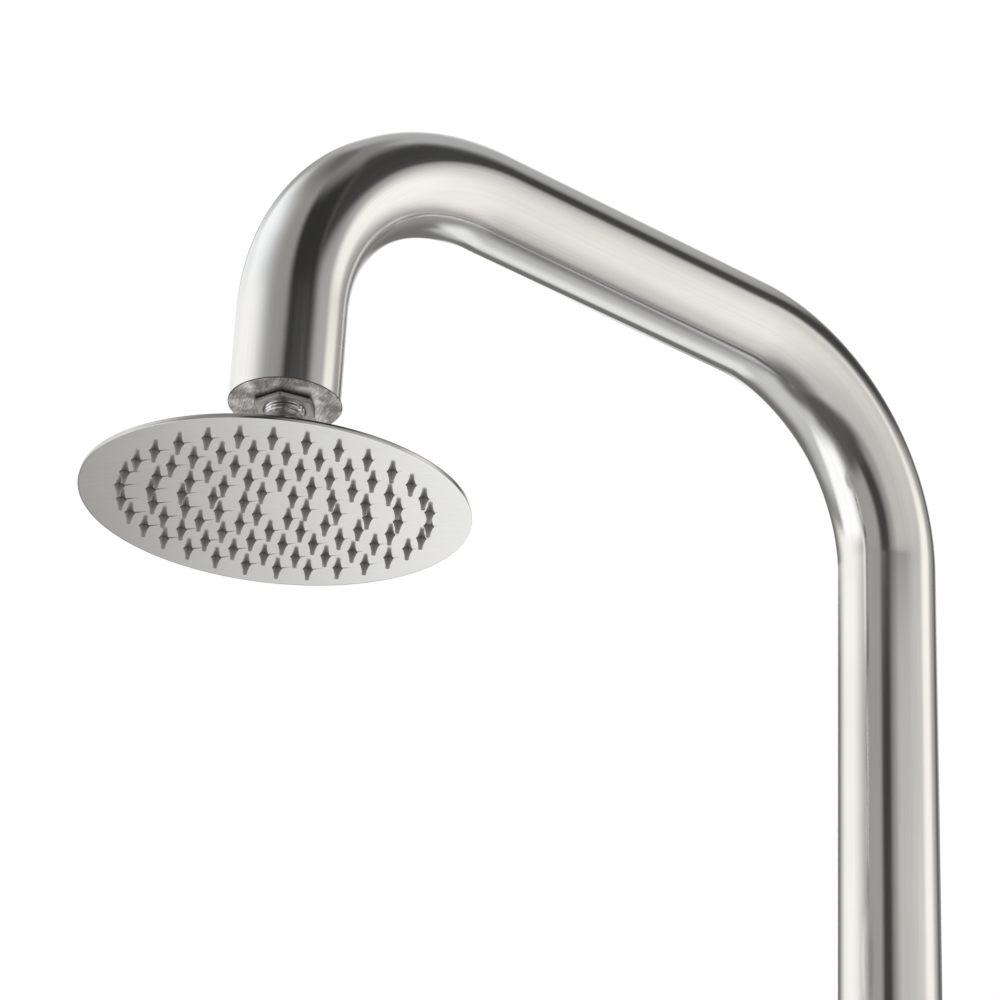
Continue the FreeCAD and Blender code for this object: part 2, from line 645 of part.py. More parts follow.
def spindle_carrier():
    """The fork that carries the pivot pin and turns with the dome."""
    body = sub_part("spindle_carrier", VALVE, "front")
    stalk, reach = "(neck_bore / 2 - slide_gap)", "carrier_flange_reach"
    edge = f"(sqrt({DOME_BORE} ^ 2 - ({reach} - pivot_reach) ^ 2) - seat_gap)"
    far = f"({reach} + carrier_flange)"
    far_edge = f"(sqrt({DOME_BORE} ^ 2 - ({far} - pivot_reach) ^ 2) - seat_gap)"
    low = "(pivot_reach - 1.2 * pin_diameter)"
    turned(body, [("0", low), (stalk, low), (stalk, reach), (edge, reach), (far_edge, far), ("0", far)])
    wide = "(spindle_width + 2 * spindle_gap)"
    block(body, (f"-{wide} / 2", "-neck_bore", low), (wide, "2 * neck_bore", f"{reach} - {low}"), cut=True)
    block(body, (f"-{wide} / 2", "-dome_slot_low", low),
          (wide, "dome_slot_low + dome_slot_high", f"{far} - {low}"), cut=True)
    cylinder(body, "pin_diameter + 2 * seat_gap", "2 * neck_bore", ("-neck_bore", "0", "pivot_reach"),
             "right", cut=True)
    return body


def pivot_pin():
    """The pin on which the spindle tilts."""
    body = sub_part("pivot_pin", VALVE, "front")
    cylinder(body, "pin_diameter", "0.9 * neck_bore", ("-0.45 * neck_bore", "0", "pivot_reach"), "right")
    return body


def spindle():
    """The square bar between handle and discs, with a round tip below its pivot."""
    body = sub_part("spindle", VALVE, "front")
    foot = "(pivot_reach - 0.7 * spindle_width)"
    tip = ("0", "0", "pivot_reach - tip_depth")
    block(body, ("-spindle_width / 2", "-spindle_width / 2", foot),
          ("spindle_width", "spindle_width", f"spindle_reach - {foot}"))
    cylinder(body, "tip_neck", "tip_depth / 2", tip)
    ball(body, "spindle_tip", tip)
    cylinder(body, "pin_diameter + 2 * slide_gap", "2 * spindle_width",
             ("-spindle_width", "0", "pivot_reach"), "right", cut=True)
    return body


def ball_dome():
    """The thin dome over the bushing, slotted for the spindle."""
    body = sub_part("ball_dome", VALVE, "front")
    low = "(pivot_reach - dome_skirt)"
    below = f"({low} - dome_diameter)"
    ball(body, "dome_diameter", ("0", "0", "pivot_reach"))
    cylinder(body, "dome_diameter", "dome_skirt", ("0", "0", low))
    ball(body, f"2 * {DOME_BORE}", ("0", "0", "pivot_reach"), cut=True)
    cylinder(body, f"2 * {DOME_BORE}", f"pivot_reach - {below}", ("0", "0", below), cut=True)
    cylinder(body, "2 * dome_diameter", "dome_diameter", ("0", "0", below), cut=True)
    wide = "(spindle_width + 4 * spindle_gap)"
    block(body, (f"-{wide} / 2", "-dome_slot_low", "pivot_reach"),
          (wide, "dome_slot_low + dome_slot_high", "dome_diameter"), cut=True)
    return body


def handle_hub():
    """The handle's round head, hollowed to pass over the dome."""
    body = sub_part("handle_hub", VALVE, "front")
    rim = "(hub_diameter / 2)"
    low = "(pivot_reach + hub_clearance)"
    turned(body, [("0", low), (rim, low), (rim, "hub_reach - hub_bevel"),
                  (f"{rim} - hub_bevel", "hub_reach"), ("0", "hub_reach")])
    ball(body, "dome_diameter + 2 * hub_clearance", ("0", "0", "pivot_reach"), cut=True)
    socket = "(spindle_width + 2 * seat_gap)"
    block(body, (f"-{socket} / 2", f"-{socket} / 2", "pivot_reach"),
          (socket, socket, "spindle_reach - pivot_reach"), cut=True)
    cylinder(body, "rod_diameter + 2 * seat_gap", "rod_depth", ("0", f"rod_depth - {rim}", "handle_reach"),
             "front", cut=True)
    cylinder(body, "grub_thread + 2 * seat_gap", rim, ("0", "0", "handle_reach"), "back", cut=True)
    cylinder(body, "plug_diameter + 2 * seat_gap", "plug_length",
             ("0", f"{rim} - plug_length", "handle_reach"), "back", cut=True)
    return body


def lever_rod():
    """The rod that the hand moves, screwed into the hub and pointing down."""
    top = "valve_height - hub_diameter / 2 + rod_depth"
    body = sub_part("lever_rod", ("0", "-handle_reach", top), "down")
    root, end = "(rod_diameter / 2)", "(rod_end_diameter / 2)"
    turned(body, [("0", "0"), (root, "0"), (root, "rod_depth"), (end, "rod_length - rod_bevel"),
                  (f"{end} - rod_bevel", "rod_length"), ("0", "rod_length")])
    return body


def grub_screw():
    """The set screw that clamps the hub on the spindle."""
    body = sub_part("grub_screw", ("0", "-handle_reach", "valve_height + spindle_width / 2 + seat_gap"))
    cylinder(body, "grub_thread", "grub_length")
    cylinder(body, "grub_socket", "grub_socket_depth", ("0", "0", "grub_length - grub_socket_depth"),
             cut=True)
    return body


def index_plug():
    """The small plug over the set screw."""
    body = sub_part("index_plug", ("0", "-handle_reach", "valve_height + hub_diameter / 2 - plug_length"))
    rim, top = "(plug_diameter / 2)", "(plug_length + plug_proud)"
    turned(body, [("0", "0"), (rim, "0"), (rim, "plug_length - plug_proud"), (f"0.7 * {rim}", top),
                  ("0", top)])
    return body


# ---------------------------------------------------------------- bush, thread and ball joint

ARM_END = ("0", "-reach", MOUTH)
JOINT = ("0", "-reach", BALL)


def hex_bush():
    """The bush welded in the plug: a hexagon below it, a thread inside and a hose tail above."""
    body = sub_part("hex_bush", ARM_END)
    low = "(gasket_thickness + bush_hexagon)"
    hexagon(body, "bush_flats", f"-{low}", "bush_hexagon", "bush_turn")
    cylinder(body, "bush_diameter", f"{BUSH_TOP} + gasket_thickness", ("0", "0", "-gasket_thickness"))
    cylinder(body, "riser_bore - 2 * seat_gap", "tail_length", ("0", "0", BUSH_TOP))
    cylinder(body, "arm_thread + 2 * seat_gap", "bush_thread_depth", ("0", "0", f"-{low}"), cut=True)
    cylinder(body, "swivel_bore", "3 * tail_length", ("0", "0", f"-{low}"), cut=True)
    return body


def bush_gasket():
    """The thin washer between the hexagon and the plug."""
    body = sub_part("bush_gasket", ARM_END)
    washer(body, "bush_diameter + 2 * seat_gap", "bush_flats - 2 * gasket_inset", "-gasket_thickness", "0")
    return body


def swivel_body():
    """The fitting screwed into the bush: thread, neck, cone and the upper half of the ball's housing."""
    body = sub_part("swivel_body", JOINT)
    crest, root = "(arm_thread / 2)", "(arm_thread / 2 - thread_depth)"
    neck, rim = "(neck_diameter / 2)", "(swivel_diameter / 2)"
    show, top = "(ball_depth - thread_show)", "(ball_depth + thread_insert)"
    threads = int(number(f"({top} - {show}) / thread_pitch"))
    nut_seat, spigot = "(nut_top + slide_gap)", "(nut_thread / 2 - seat_gap)"
    points = [("swivel_bore / 2", "seat_top"), ("seat_bore / 2", "seat_top"),
              ("seat_bore / 2", "-swivel_rim"), (spigot, "-swivel_rim"), (spigot, nut_seat),
              (rim, nut_seat), (rim, f"{show} - swivel_cone"), (neck, show)]
    for ridge in range(threads):
        for radius, rise in ((crest, 0.25), (crest, 0.45), (root, 0.7), (root, 0.9)):
            points.append((radius, f"{show} + {ridge + rise} * thread_pitch"))
    points += [(root, top), ("swivel_bore / 2", top)]
    turned(body, points)
    cylinder(body, "strainer_diameter + 2 * slide_gap", "strainer_thickness",
             ("0", "0", f"{top} - strainer_thickness"), cut=True)
    return body


def strainer():
    """The small sieve at the water's way into the joint."""
    body = sub_part("strainer", ("0", "-reach", f"{MOUTH} + thread_insert - strainer_thickness"))
    cylinder(body, "strainer_diameter", "strainer_thickness")
    cylinder(body, "strainer_hole", "2 * strainer_thickness", cut=True)
    for ring, count in ((1, 6), (2, 12)):
        hole = cylinder(body, "strainer_hole", "2 * strainer_thickness",
                        (f"{ring} * strainer_diameter / 6", "0", "0"), cut=True)
        polar(body, [hole], count)
    return body


def seat_ring():
    """The plastic seat over the ball, which turns with the head."""
    body = sub_part("seat_ring", JOINT)
    washer(body, "swivel_bore", "seat_bore - 4 * slide_gap", "slide_gap", "seat_top - 2 * slide_gap")
    ball(body, "ball_diameter + 4 * slide_gap", cut=True)
    return body


def swivel_nut():
    """The fluted nut whose lip holds the ball up."""
    body = sub_part("swivel_nut", JOINT)
    rim, thread = "(nut_diameter / 2)", "(nut_thread / 2)"
    turned(body, [
        ("0", "-nut_bottom"), (f"{rim} - nut_bevel", "-nut_bottom"), (rim, "nut_bevel - nut_bottom"),
        (rim, "nut_top - nut_bevel"), (f"{rim} - nut_bevel", "nut_top"), (thread, "nut_top"),
        (thread, "-swivel_rim - slide_gap"), ("0", "-swivel_rim - slide_gap"),
    ])
    ball(body, "ball_diameter + 4 * slide_gap", cut=True)
    flute = cylinder(body, "flute_diameter", "2 * nut_diameter",
                     (f"{rim} + flute_diameter / 2 - flute_sink", "0", "-nut_diameter"), cut=True)
    polar(body, [flute], FLUTES)
    return body


def hang(body, height):
    """Hang a piece of the head from the ball, leaning, with its foot at a height above the face."""
    body.Placement = Placement(Vector(), Rotation(Vector(0, 1, 0), number("head_lean")))
    body.setExpression("Placement.Rotation.Angle", bound("head_lean"))
    drop = f"({BALL_TO_FACE} - ({height}))"
    move(body, (f"-{drop} * sin(head_lean)", "-reach", f"{BALL} - {drop} * cos(head_lean)"))


def head_part(label, height="0"):
    """An empty piece of the head."""
    body = sub_part(label)
    hang(body, height)
    return body


def ball_stem():
    """The ball with its stem, flange and thread, bored through for the water."""
    body = head_part("ball_stem", BALL_TO_FACE)
    ball(body, "ball_diameter")
    cylinder(body, "stem_diameter", STEM_END, along="down")
    cylinder(body, "stem_flange", "stem_flange_thickness", ("0", "0", "-stem_flange_top"), "down")
    cylinder(body, "stem_thread", f"{STEM_END} - stem_flange_top", ("0", "0", "-stem_flange_top"), "down")
    cylinder(body, "stem_bore", f"ball_diameter + {STEM_END}", ("0", "0", "ball_diameter"), "down",
             cut=True)
    return body


BOSS_TOP = f"({BALL_TO_FACE} - stem_flange_top - stem_flange_thickness - stem_seal)"


def stem_seal():
    """The ring between the stem's flange and the boss."""
    body = head_part("stem_seal", BOSS_TOP)
    washer(body, "stem_thread + 2 * seat_gap", "stem_flange", "0", "stem_seal")
    return body


def head_boss():
    """The boss welded on the back plate, threaded for the stem."""
    body = head_part("head_boss", "head_thickness")
    high = f"({BOSS_TOP} - head_thickness)"
    rim, foot, bore = "(boss_diameter / 2)", "(boss_foot / 2)", "(stem_thread / 2 + seat_gap)"
    turned(body, [(bore, "0"), (foot, "0"), (f"{rim} + boss_bevel", "boss_foot_height"),
                  (rim, "boss_foot_height + boss_bevel"), (rim, f"{high} - boss_bevel"),
                  (f"{rim} - boss_bevel", high), (bore, high)])
    return body


def back_plate():
    """The sheet that closes the water chamber from above."""
    body = head_part("back_plate", "head_thickness - sheet")
    washer(body, "boss_bore", "head_diameter - 2 * sheet - 2 * seat_gap", "0", "sheet")
    return body


def nozzle_circles(body, diameter, low):
    """A sketch with one sector's nozzles: as many on each ring as the ring's number."""
    sketch = new_sketch(body, "XY_Plane")
    if low != "0":
        sketch.setExpression("AttachmentOffset.Base.z", bound(low))
    for ring in range(1, RINGS + 1):
        for step in range(ring):
            heading = f"(nozzle_turn + {60 * step / ring})"
            across = f"{ring} * nozzle_pitch * cos{heading}"
            along = f"{ring} * nozzle_pitch * sin{heading}"
            centre = Vector(number(across), number(along), 0)
            circle = sketch.addGeometry(Part.Circle(centre, Vector(0, 0, 1), number(diameter) / 2), False)
            rules = (("DistanceX", (-1, 1, circle, 3, centre.x), across),
                     ("DistanceY", (-1, 1, circle, 3, centre.y), along),
                     ("Diameter", (circle, number(diameter)), diameter))
            for kind, what, formula in rules:
                rule = sketch.addConstraint(Sketcher.Constraint(kind, *what))
                sketch.setExpression(f"Constraints[{rule}]", bound(formula))
    return sketch


def nozzle_feature(body, kind, diameter, low, length, downward=True):
    """One sector's nozzles or holes, padded or pocketed from a height."""
    feature = body.newObject(f"PartDesign::{kind}", "Nozzles")
    feature.Profile = nozzle_circles(body, diameter, low)
    feature.Reversed = downward
    feature.setExpression("Length", bound(length))
    return feature


def spray_plate():
    """The round face with its turned-up rim and its nozzle holes."""
    body = head_part("spray_plate")
    rim = "(head_diameter / 2)"
    turned(body, [("0", "0"), (rim, "0"), (rim, "head_thickness"), (f"{rim} - sheet", "head_thickness"),
                  (f"{rim} - sheet", "sheet"), ("0", "sheet")])
    holes = nozzle_feature(body, "Pocket", "nozzle_root + 2 * slide_gap", "sheet", "2 * sheet",
                           downward=False)
    polar(body, [holes], SECTORS)
    return body


def nozzle_mat():
    """The soft mat behind the face: a disc with nozzles that stand through the holes."""
    body = head_part("nozzle_mat")
    low = "(sheet + slide_gap)"
    cylinder(body, f"2 * ({RINGS} * nozzle_pitch + mat_edge)", "mat_thickness", ("0", "0", low))
    root = nozzle_feature(body, "Pad", "nozzle_root", low, low)
    cone = nozzle_feature(body, "Pad", "nozzle_root", "0", "nozzle_cone")
    cone.setExpression("TaperAngle", bound("-nozzle_taper"))
    tip = nozzle_feature(body, "Pad", "nozzle_tip", "0", "nozzle_length")
    bore = nozzle_feature(body, "Pocket", "nozzle_bore", f"{low} + mat_thickness", "2 * nozzle_length")
    bore.Reversed = False
    polar(body, [root, cone, tip, bore], SECTORS)
    return body


def make_parts():
    """Every sub-part, from the ground up."""
    elbow("hot_elbow", "-1")
    elbow("cold_elbow", "1")
    supply_hose("hot_hose", "-1")
    supply_hose("cold_hose", "1")
    supply_fitting("hot_fitting", "-1")
    supply_fitting("cold_fitting", "1")
    for make in (
        floor_plate, foot_spigot, foot_screws, foot_rose, post_tube, end_plug,
        inlet_gaskets, inlet_saddles, inlet_locknuts, supply_ferrules,
        mixer_body, riser_fitting, riser_hose, riser_ferrules, valve_bushing, valve_trim, clamp_nut,
        cartridge_seals, cartridge_base, cartridge_housing, retaining_nut, fixed_disc, moving_disc,
        disc_carriage, spindle_carrier, pivot_pin, spindle, ball_dome,
        handle_hub, lever_rod, grub_screw, index_plug,
        hex_bush, bush_gasket, swivel_body, strainer, seat_ring, swivel_nut,
        ball_stem, stem_seal, head_boss, back_plate, spray_plate, nozzle_mat,
    ):
        make()


def check_and_write():
    """Stop on any failed object, then write one file for each sub-part."""
    doc.recompute()
    for thing in doc.Objects:
        if {"Invalid", "Error"} & set(thing.State):
            raise RuntimeError(f"{thing.Label} of {thing.getParent()} failed: {thing.State}")
    os.makedirs("parts", exist_ok=True)
    for body in doc.findObjects("PartDesign::Body"):
        shape = body.Shape
        if shape.isNull() or not shape.isValid() or not shape.Solids:
            raise RuntimeError(f"{body.Label} has no valid solid")
        shape.exportStep(f"parts/{body.Label}.step")
        print(f"{body.Label}: {len(shape.Solids)} solid(s), {shape.Volume / 1000:.2f} cm3")


make_parts()
check_and_write()
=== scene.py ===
"""Looks of the outdoor shower post: brushed tube, thin round head, foot, inlets and lever mixer."""

import logging
import math
from dataclasses import dataclass
from enum import Enum
from typing import Sequence

import bmesh
import bpy
from mathutils import Matrix, Vector


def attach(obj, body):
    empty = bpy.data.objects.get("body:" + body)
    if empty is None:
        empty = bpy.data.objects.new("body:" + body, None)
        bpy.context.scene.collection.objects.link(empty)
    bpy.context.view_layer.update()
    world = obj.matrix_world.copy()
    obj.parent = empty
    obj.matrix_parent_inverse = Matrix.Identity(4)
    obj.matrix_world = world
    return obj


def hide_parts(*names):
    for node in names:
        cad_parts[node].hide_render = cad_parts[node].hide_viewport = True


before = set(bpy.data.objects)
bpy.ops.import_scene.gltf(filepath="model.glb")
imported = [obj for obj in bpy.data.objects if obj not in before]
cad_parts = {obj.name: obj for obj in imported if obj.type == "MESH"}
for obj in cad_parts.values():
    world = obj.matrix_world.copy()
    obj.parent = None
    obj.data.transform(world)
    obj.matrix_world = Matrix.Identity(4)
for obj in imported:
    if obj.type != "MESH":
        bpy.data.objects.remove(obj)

log = logging.getLogger("shower_post")

Mesh = bmesh.types.BMesh
Ring = list[bmesh.types.BMVert]
Piece = bpy.types.Object
Colour = tuple[float, float, float]
Point = tuple[float, float, float]
Spot = tuple[float, float]
Reach = tuple[float, float]
Shaft = tuple[Point, Point]

UP: Point = (0.0, 0.0, 1.0)
FRONT: Point = (0.0, -1.0, 0.0)
QUARTER = math.pi / 2


# ---- shader expressions

class Value:
    """A socket of a shader in an expression, whose operators add Math nodes."""

    def __init__(self, shader: "Shader", socket: bpy.types.NodeSocket) -> None:
        """Wrap an output socket of the shader."""
        self.shader = shader
        self.socket = socket

    def __add__(self, other: "Number") -> "Value":
        """Sum."""
        return self.shader.math("ADD", self, other)

    def __sub__(self, other: "Number") -> "Value":
        """Difference."""
        return self.shader.math("SUBTRACT", self, other)

    def __rsub__(self, other: "Number") -> "Value":
        """Difference, reflected."""
        return self.shader.math("SUBTRACT", other, self)

    def __mul__(self, other: "Number") -> "Value":
        """Product."""
        return self.shader.math("MULTIPLY", self, other)

    __radd__ = __add__
    __rmul__ = __mul__

    def ramp(self, low: float, high: float) -> "Value":
        """Rise smoothly from 0 at low to 1 at high."""
        return self.shader.value("ShaderNodeMapRange", {"interpolation_type": "SMOOTHSTEP"},
                                 {"Value": self, "From Min": low, "From Max": high})


Number = Value | float
Tone = Value | Colour


class Shader:
    """A node tree that is written as expressions."""

    def __init__(self, tree: bpy.types.NodeTree) -> None:
        """Empty a node tree and keep it."""
        tree.nodes.clear()
        self.tree = tree

    def node(self, kind: str, settings: dict, sockets: dict) -> bpy.types.Node:
        """Add a node of any type.

        Args:
            kind: The node's type.
            settings: Its settings, set before its sockets.
            sockets: Values or links of its input sockets, by name or number.

        Returns:
            The new node.
        """
        made = self.tree.nodes.new(kind)
        for name, setting in settings.items():
            setattr(made, name, setting)
        for name, given in sockets.items():
            if isinstance(given, Value):
                self.tree.links.new(given.socket, made.inputs[name])
            else:
                made.inputs[name].default_value = given
        return made

    def value(self, kind: str, settings: dict, sockets: dict, output: int | str = 0) -> Value:
        """Add a node of any type and give the output of a name or number."""
        return Value(self, self.node(kind, settings, sockets).outputs[output])

    def math(self, operation: str, *terms: Number) -> Value:
        """Add a Math node with its inputs in order."""
        return self.value("ShaderNodeMath", {"operation": operation}, dict(enumerate(terms)))

    def vector(self, operation: str, *terms: Value | Point, output: int = 0) -> Value:
        """Add a Vector Math node, and take its vector (output 0) or its number (output 1)."""
        return self.value("ShaderNodeVectorMath", {"operation": operation},
                          dict(enumerate(terms)), output)

    def blend(self, share: Number, first: Tone, second: Tone) -> Value:
        """Mix two colours.

        Args:
            share: Share of the second colour.
            first: Colour at 0.
            second: Colour at 1.

        Returns:
            The mixed colour.
        """
        settings = {"data_type": "RGBA", "clamp_factor": True}
        ends = [end if isinstance(end, Value) else (*end, 1.0) for end in (first, second)]
        return self.value("ShaderNodeMix", settings, {0: share, 6: ends[0], 7: ends[1]}, 2)

    def noise(self, at: Value, waves: float, octaves: float, roughness: float) -> Value:
        """Sample noise of about 0.25 to 0.75, by its waves in a metre and its finer octaves."""
        sockets = {"Vector": at, "Scale": waves, "Detail": octaves, "Roughness": roughness}
        return self.value("ShaderNodeTexNoise", {}, sockets, "Fac")

    def object_place(self) -> Value:
        """The point in the piece's own frame, in metres."""
        return self.value("ShaderNodeTexCoord", {}, {}, "Object")

    def axes(self, at: Value) -> tuple[Value, Value, Value]:
        """A vector's X, Y and Z."""
        split = self.node("ShaderNodeSeparateXYZ", {}, {"Vector": at})
        return tuple(Value(self, split.outputs[axis]) for axis in range(3))

    def stretched(self, at: Value, factor: float, turn: float) -> Value:
        """Turn a point about Z, in degrees, then scale its X, for a grain that runs one way."""
        turned = self.value("ShaderNodeVectorRotate", {"rotation_type": "Z_AXIS"},
                            {"Vector": at, "Angle": math.radians(turn)})
        return self.vector("MULTIPLY", turned, (factor, 1.0, 1.0))


# ---- finishes

@dataclass(frozen=True)
class Finish:
    """What every finish has: a name and a Principled surface."""

    name: str

    def pattern(self, shader: Shader) -> dict:
        """The surface's pattern, which each finish gives.

        Args:
            shader: The shader it goes in.

        Returns:
            The values and links of the surface's sockets.
        """
        raise NotImplementedError(self.name)

    def material(self) -> bpy.types.Material:
        """Make the material once and give it again when asked.

        Returns:
            The finish's material.
        """
        name = "finish_" + self.name
        made = bpy.data.materials.get(name)
        if not made:
            made = bpy.data.materials.new(name)
            made.use_nodes = True
            shader = Shader(made.node_tree)
            surface = shader.value("ShaderNodeBsdfPrincipled", {}, self.pattern(shader))
            shader.node("ShaderNodeOutputMaterial", {}, {"Surface": surface})
        return made


def scaled(colour: Colour, factor: float) -> Colour:
    """A colour made darker or brighter by a factor."""
    return tuple(channel * factor for channel in colour)


def bumped(shader: Shader, height: Value, depth: float) -> Value:
    """A Bump node's normal, where a height of 1 is as many metres as the depth says."""
    sockets = {"Height": height, "Distance": depth, "Strength": 1.0}
    return shader.value("ShaderNodeBump", {}, sockets)


@dataclass(frozen=True)
class GrainedMetal(Finish):
    """Bare metal with a fine grain and faint clouds, in colour, roughness and height."""

    tint: Colour = (0.77, 0.76, 0.74)
    shade: float = 0.86
    tones: Reach = (0.32, 0.68)
    grain_waves: float = 1500.0
    grain_detail: float = 3.0
    grain_share: float = 0.6
    cloud_waves: float = 60.0
    roughness: float = 0.14
    grain_dulls: float = 0.06
    clouds_dull: float = 0.05
    depth: float = 0.000005

    def grained(self, shader: Shader, grain_at: Value, clouds_at: Value) -> dict:
        """The sockets of a surface with grain and clouds.

        Args:
            shader: The shader they go in.
            grain_at: Where the grain is sampled.
            clouds_at: Where the clouds are sampled.

        Returns:
            The values and links of the sockets.
        """
        grain = shader.noise(grain_at, self.grain_waves, self.grain_detail, 0.6)
        clouds = shader.noise(clouds_at, self.cloud_waves, 3.0, 0.55)
        tone = (grain * self.grain_share + clouds * (1.0 - self.grain_share)).ramp(*self.tones)
        return {
            "Base Color": shader.blend(tone, scaled(self.tint, self.shade), self.tint),
            "Metallic": 1.0,
            "Roughness": self.roughness + grain * self.grain_dulls + clouds * self.clouds_dull,
            "Normal": bumped(shader, grain, self.depth),
        }


@dataclass(frozen=True)
class SatinTube(GrainedMetal):
    """Drawn tube polished along its length: fine long streaks and faint clouds."""

    tint: Colour = (0.83, 0.828, 0.822)
    shade: float = 0.92
    tones: Reach = (0.3, 0.7)
    grain_waves: float = 1100.0
    grain_share: float = 0.5
    cloud_waves: float = 14.0
    roughness: float = 0.07
    depth: float = 0.000002
    stretch: float = 0.01

    def pattern(self, shader: Shader) -> dict:
        """Streaks that follow the tube's own length."""
        route = shader.value("ShaderNodeAttribute", {"attribute_name": "route"}, {}, "Vector")
        along = shader.vector("MULTIPLY", route, (1.0, 1.0, self.stretch))
        return self.grained(shader, along, route)


@dataclass(frozen=True)
class BrushedSheet(GrainedMetal):
    """Sheet brushed one way: short fine lines, and painted shadows of the nozzles beside its holes.
    """

    tint: Colour = (0.97, 0.965, 0.955)
    shade: float = 0.91
    grain_waves: float = 3200.0
    grain_share: float = 0.7
    cloud_waves: float = 22.0
    roughness: float = 0.08
    clouds_dull: float = 0.04
    depth: float = 0.000004
    stretch: float = 0.02
    heading: float = 30.0
    # how far the painted shadow of the nozzles darkens the face, and the colour it darkens to
    drag: float = 0.9
    shadow_tone: Colour = (0.12, 0.12, 0.12)

    def pattern(self, shader: Shader) -> dict:
        """Lines along one heading, darkened by a painted shadow where the mesh marks a nozzle's
        shadow.
        """
        place = shader.object_place()
        sheet = self.grained(shader, shader.stretched(place, self.stretch, -self.heading), place)
        # painted shadow: the mesh's attribute darkens the face in a trail beside each nozzle
        marks = shader.value("ShaderNodeAttribute", {"attribute_name": "drag"}, {}, "Fac")
        sheet["Base Color"] = shader.blend(marks * self.drag, sheet["Base Color"], self.shadow_tone)
        return sheet


@dataclass(frozen=True)
class Turned(GrainedMetal):
    """Metal turned on a lathe: rings about its shaft, and faint clouds."""

    grain_detail: float = 2.0
    grain_dulls: float = 0.08
    shaft: Shaft = ((0.0, 0.0, 0.0), UP)

    def pattern(self, shader: Shader) -> dict:
        """Rings by the distance from the shaft and along it."""
        start, heading = self.shaft
        offset = shader.vector("SUBTRACT", shader.object_place(), start)
        along = shader.vector("DOT_PRODUCT", offset, heading, output=1)
        beside = shader.value("ShaderNodeVectorMath", {"operation": "SCALE"},
                              {0: heading, "Scale": along})
        radius = shader.vector("LENGTH", shader.vector("SUBTRACT", offset, beside), output=1)
        rings = shader.value("ShaderNodeCombineXYZ", {}, {"X": radius, "Y": along})
        return self.grained(shader, rings, offset)


@dataclass(frozen=True)
class MachinedPlug(Finish):
    """Plug faced off on a lathe with a worn tool: torn patches, turning arcs and drag lines."""

    centre: Point = (0.0, 0.0, 0.0)
    heading: float = 20.0
    stretch: float = 0.12
    drag_waves: float = 1500.0
    arc_waves: float = 1400.0
    torn_waves: float = 75.0
    tones: Reach = (0.4, 0.6)
    bright: Colour = (0.80, 0.78, 0.76)
    torn: Colour = (0.27, 0.25, 0.235)
    roughness: float = 0.3
    depth: float = 0.00025

    def pattern(self, shader: Shader) -> dict:
        """Torn patches crossed by drag lines, in colour, roughness and height."""
        offset = shader.vector("SUBTRACT", shader.object_place(), self.centre)
        radius = shader.vector("LENGTH", offset, output=1)
        drag = shader.noise(shader.stretched(offset, self.stretch, self.heading),
                            self.drag_waves, 3.0, 0.6)
        arcs = shader.noise(shader.value("ShaderNodeCombineXYZ", {}, {"X": radius}),
                            self.arc_waves, 2.0, 0.6)
        torn = shader.noise(offset, self.torn_waves, 4.0, 0.55)
        height = torn * 0.45 + drag * 0.35 + arcs * 0.2
        return {
            "Base Color": shader.blend(height.ramp(*self.tones), self.torn, self.bright),
            "Metallic": 1.0,
            "Roughness": self.roughness + (1.0 - torn.ramp(*self.tones)) * 0.14 + drag * 0.1,
            "Normal": bumped(shader, height, self.depth),
        }


@dataclass(frozen=True)
class Chrome(Finish):
    """Plated metal: mirror with faint cloudiness and a few water marks."""

    tint: Colour = (0.86, 0.865, 0.87)
    shade: float = 0.93
    roughness: float = 0.05
    depth: float = 0.000004

    def pattern(self, shader: Shader) -> dict:
        """Clouds and small marks in colour and roughness."""
        place = shader.object_place()
        clouds = shader.noise(place, 90.0, 4.0, 0.6)
        marks = shader.noise(place, 420.0, 2.0, 0.5).ramp(0.6, 0.72)
        return {
            "Base Color": shader.blend(clouds.ramp(0.35, 0.65), scaled(self.tint, self.shade),
                                       self.tint),
            "Metallic": 1.0,
            "Roughness": self.roughness + clouds * 0.05 + marks * 0.08,
            "Normal": bumped(shader, clouds, self.depth),
        }


@dataclass(frozen=True)
class Brass(Finish):
    """Bare brass: warm, slightly tarnished, with a sawn and sand-cast grain."""

    bright: Colour = (0.80, 0.62, 0.32)
    dull: Colour = (0.52, 0.38, 0.20)
    depth: float = 0.00001

    def pattern(self, shader: Shader) -> dict:
        """Tarnish in clouds over a fine grain."""
        place = shader.object_place()
        grain = shader.noise(place, 1600.0, 2.0, 0.6)
        tarnish = shader.noise(place, 110.0, 4.0, 0.6)
        return {
            "Base Color": shader.blend(tarnish.ramp(0.35, 0.65), self.bright, self.dull),
            "Metallic": 1.0,
            "Roughness": 0.24 + tarnish * 0.2 + grain * 0.08,
            "Normal": bumped(shader, grain, self.depth),
        }


@dataclass(frozen=True)
class Moulded(Finish):
    """Moulded rubber, silicone or plastic: matt skin, fine pores and a bloom of dust."""

    base: Colour = (0.02, 0.02, 0.02)
    bloom: Colour = (0.05, 0.05, 0.05)
    roughness: float = 0.55
    pores: float = 1800.0
    depth: float = 0.000012

    def pattern(self, shader: Shader) -> dict:
        """Pores in height and roughness, and bloom in colour."""
        place = shader.object_place()
        pores = shader.noise(place, self.pores, 3.0, 0.6)
        bloom = shader.noise(place, 130.0, 4.0, 0.6)
        return {
            "Base Color": shader.blend(bloom.ramp(0.35, 0.7), self.base, self.bloom),
            "Roughness": self.roughness - 0.08 + pores * 0.16,
            "Normal": bumped(shader, pores, self.depth),
        }


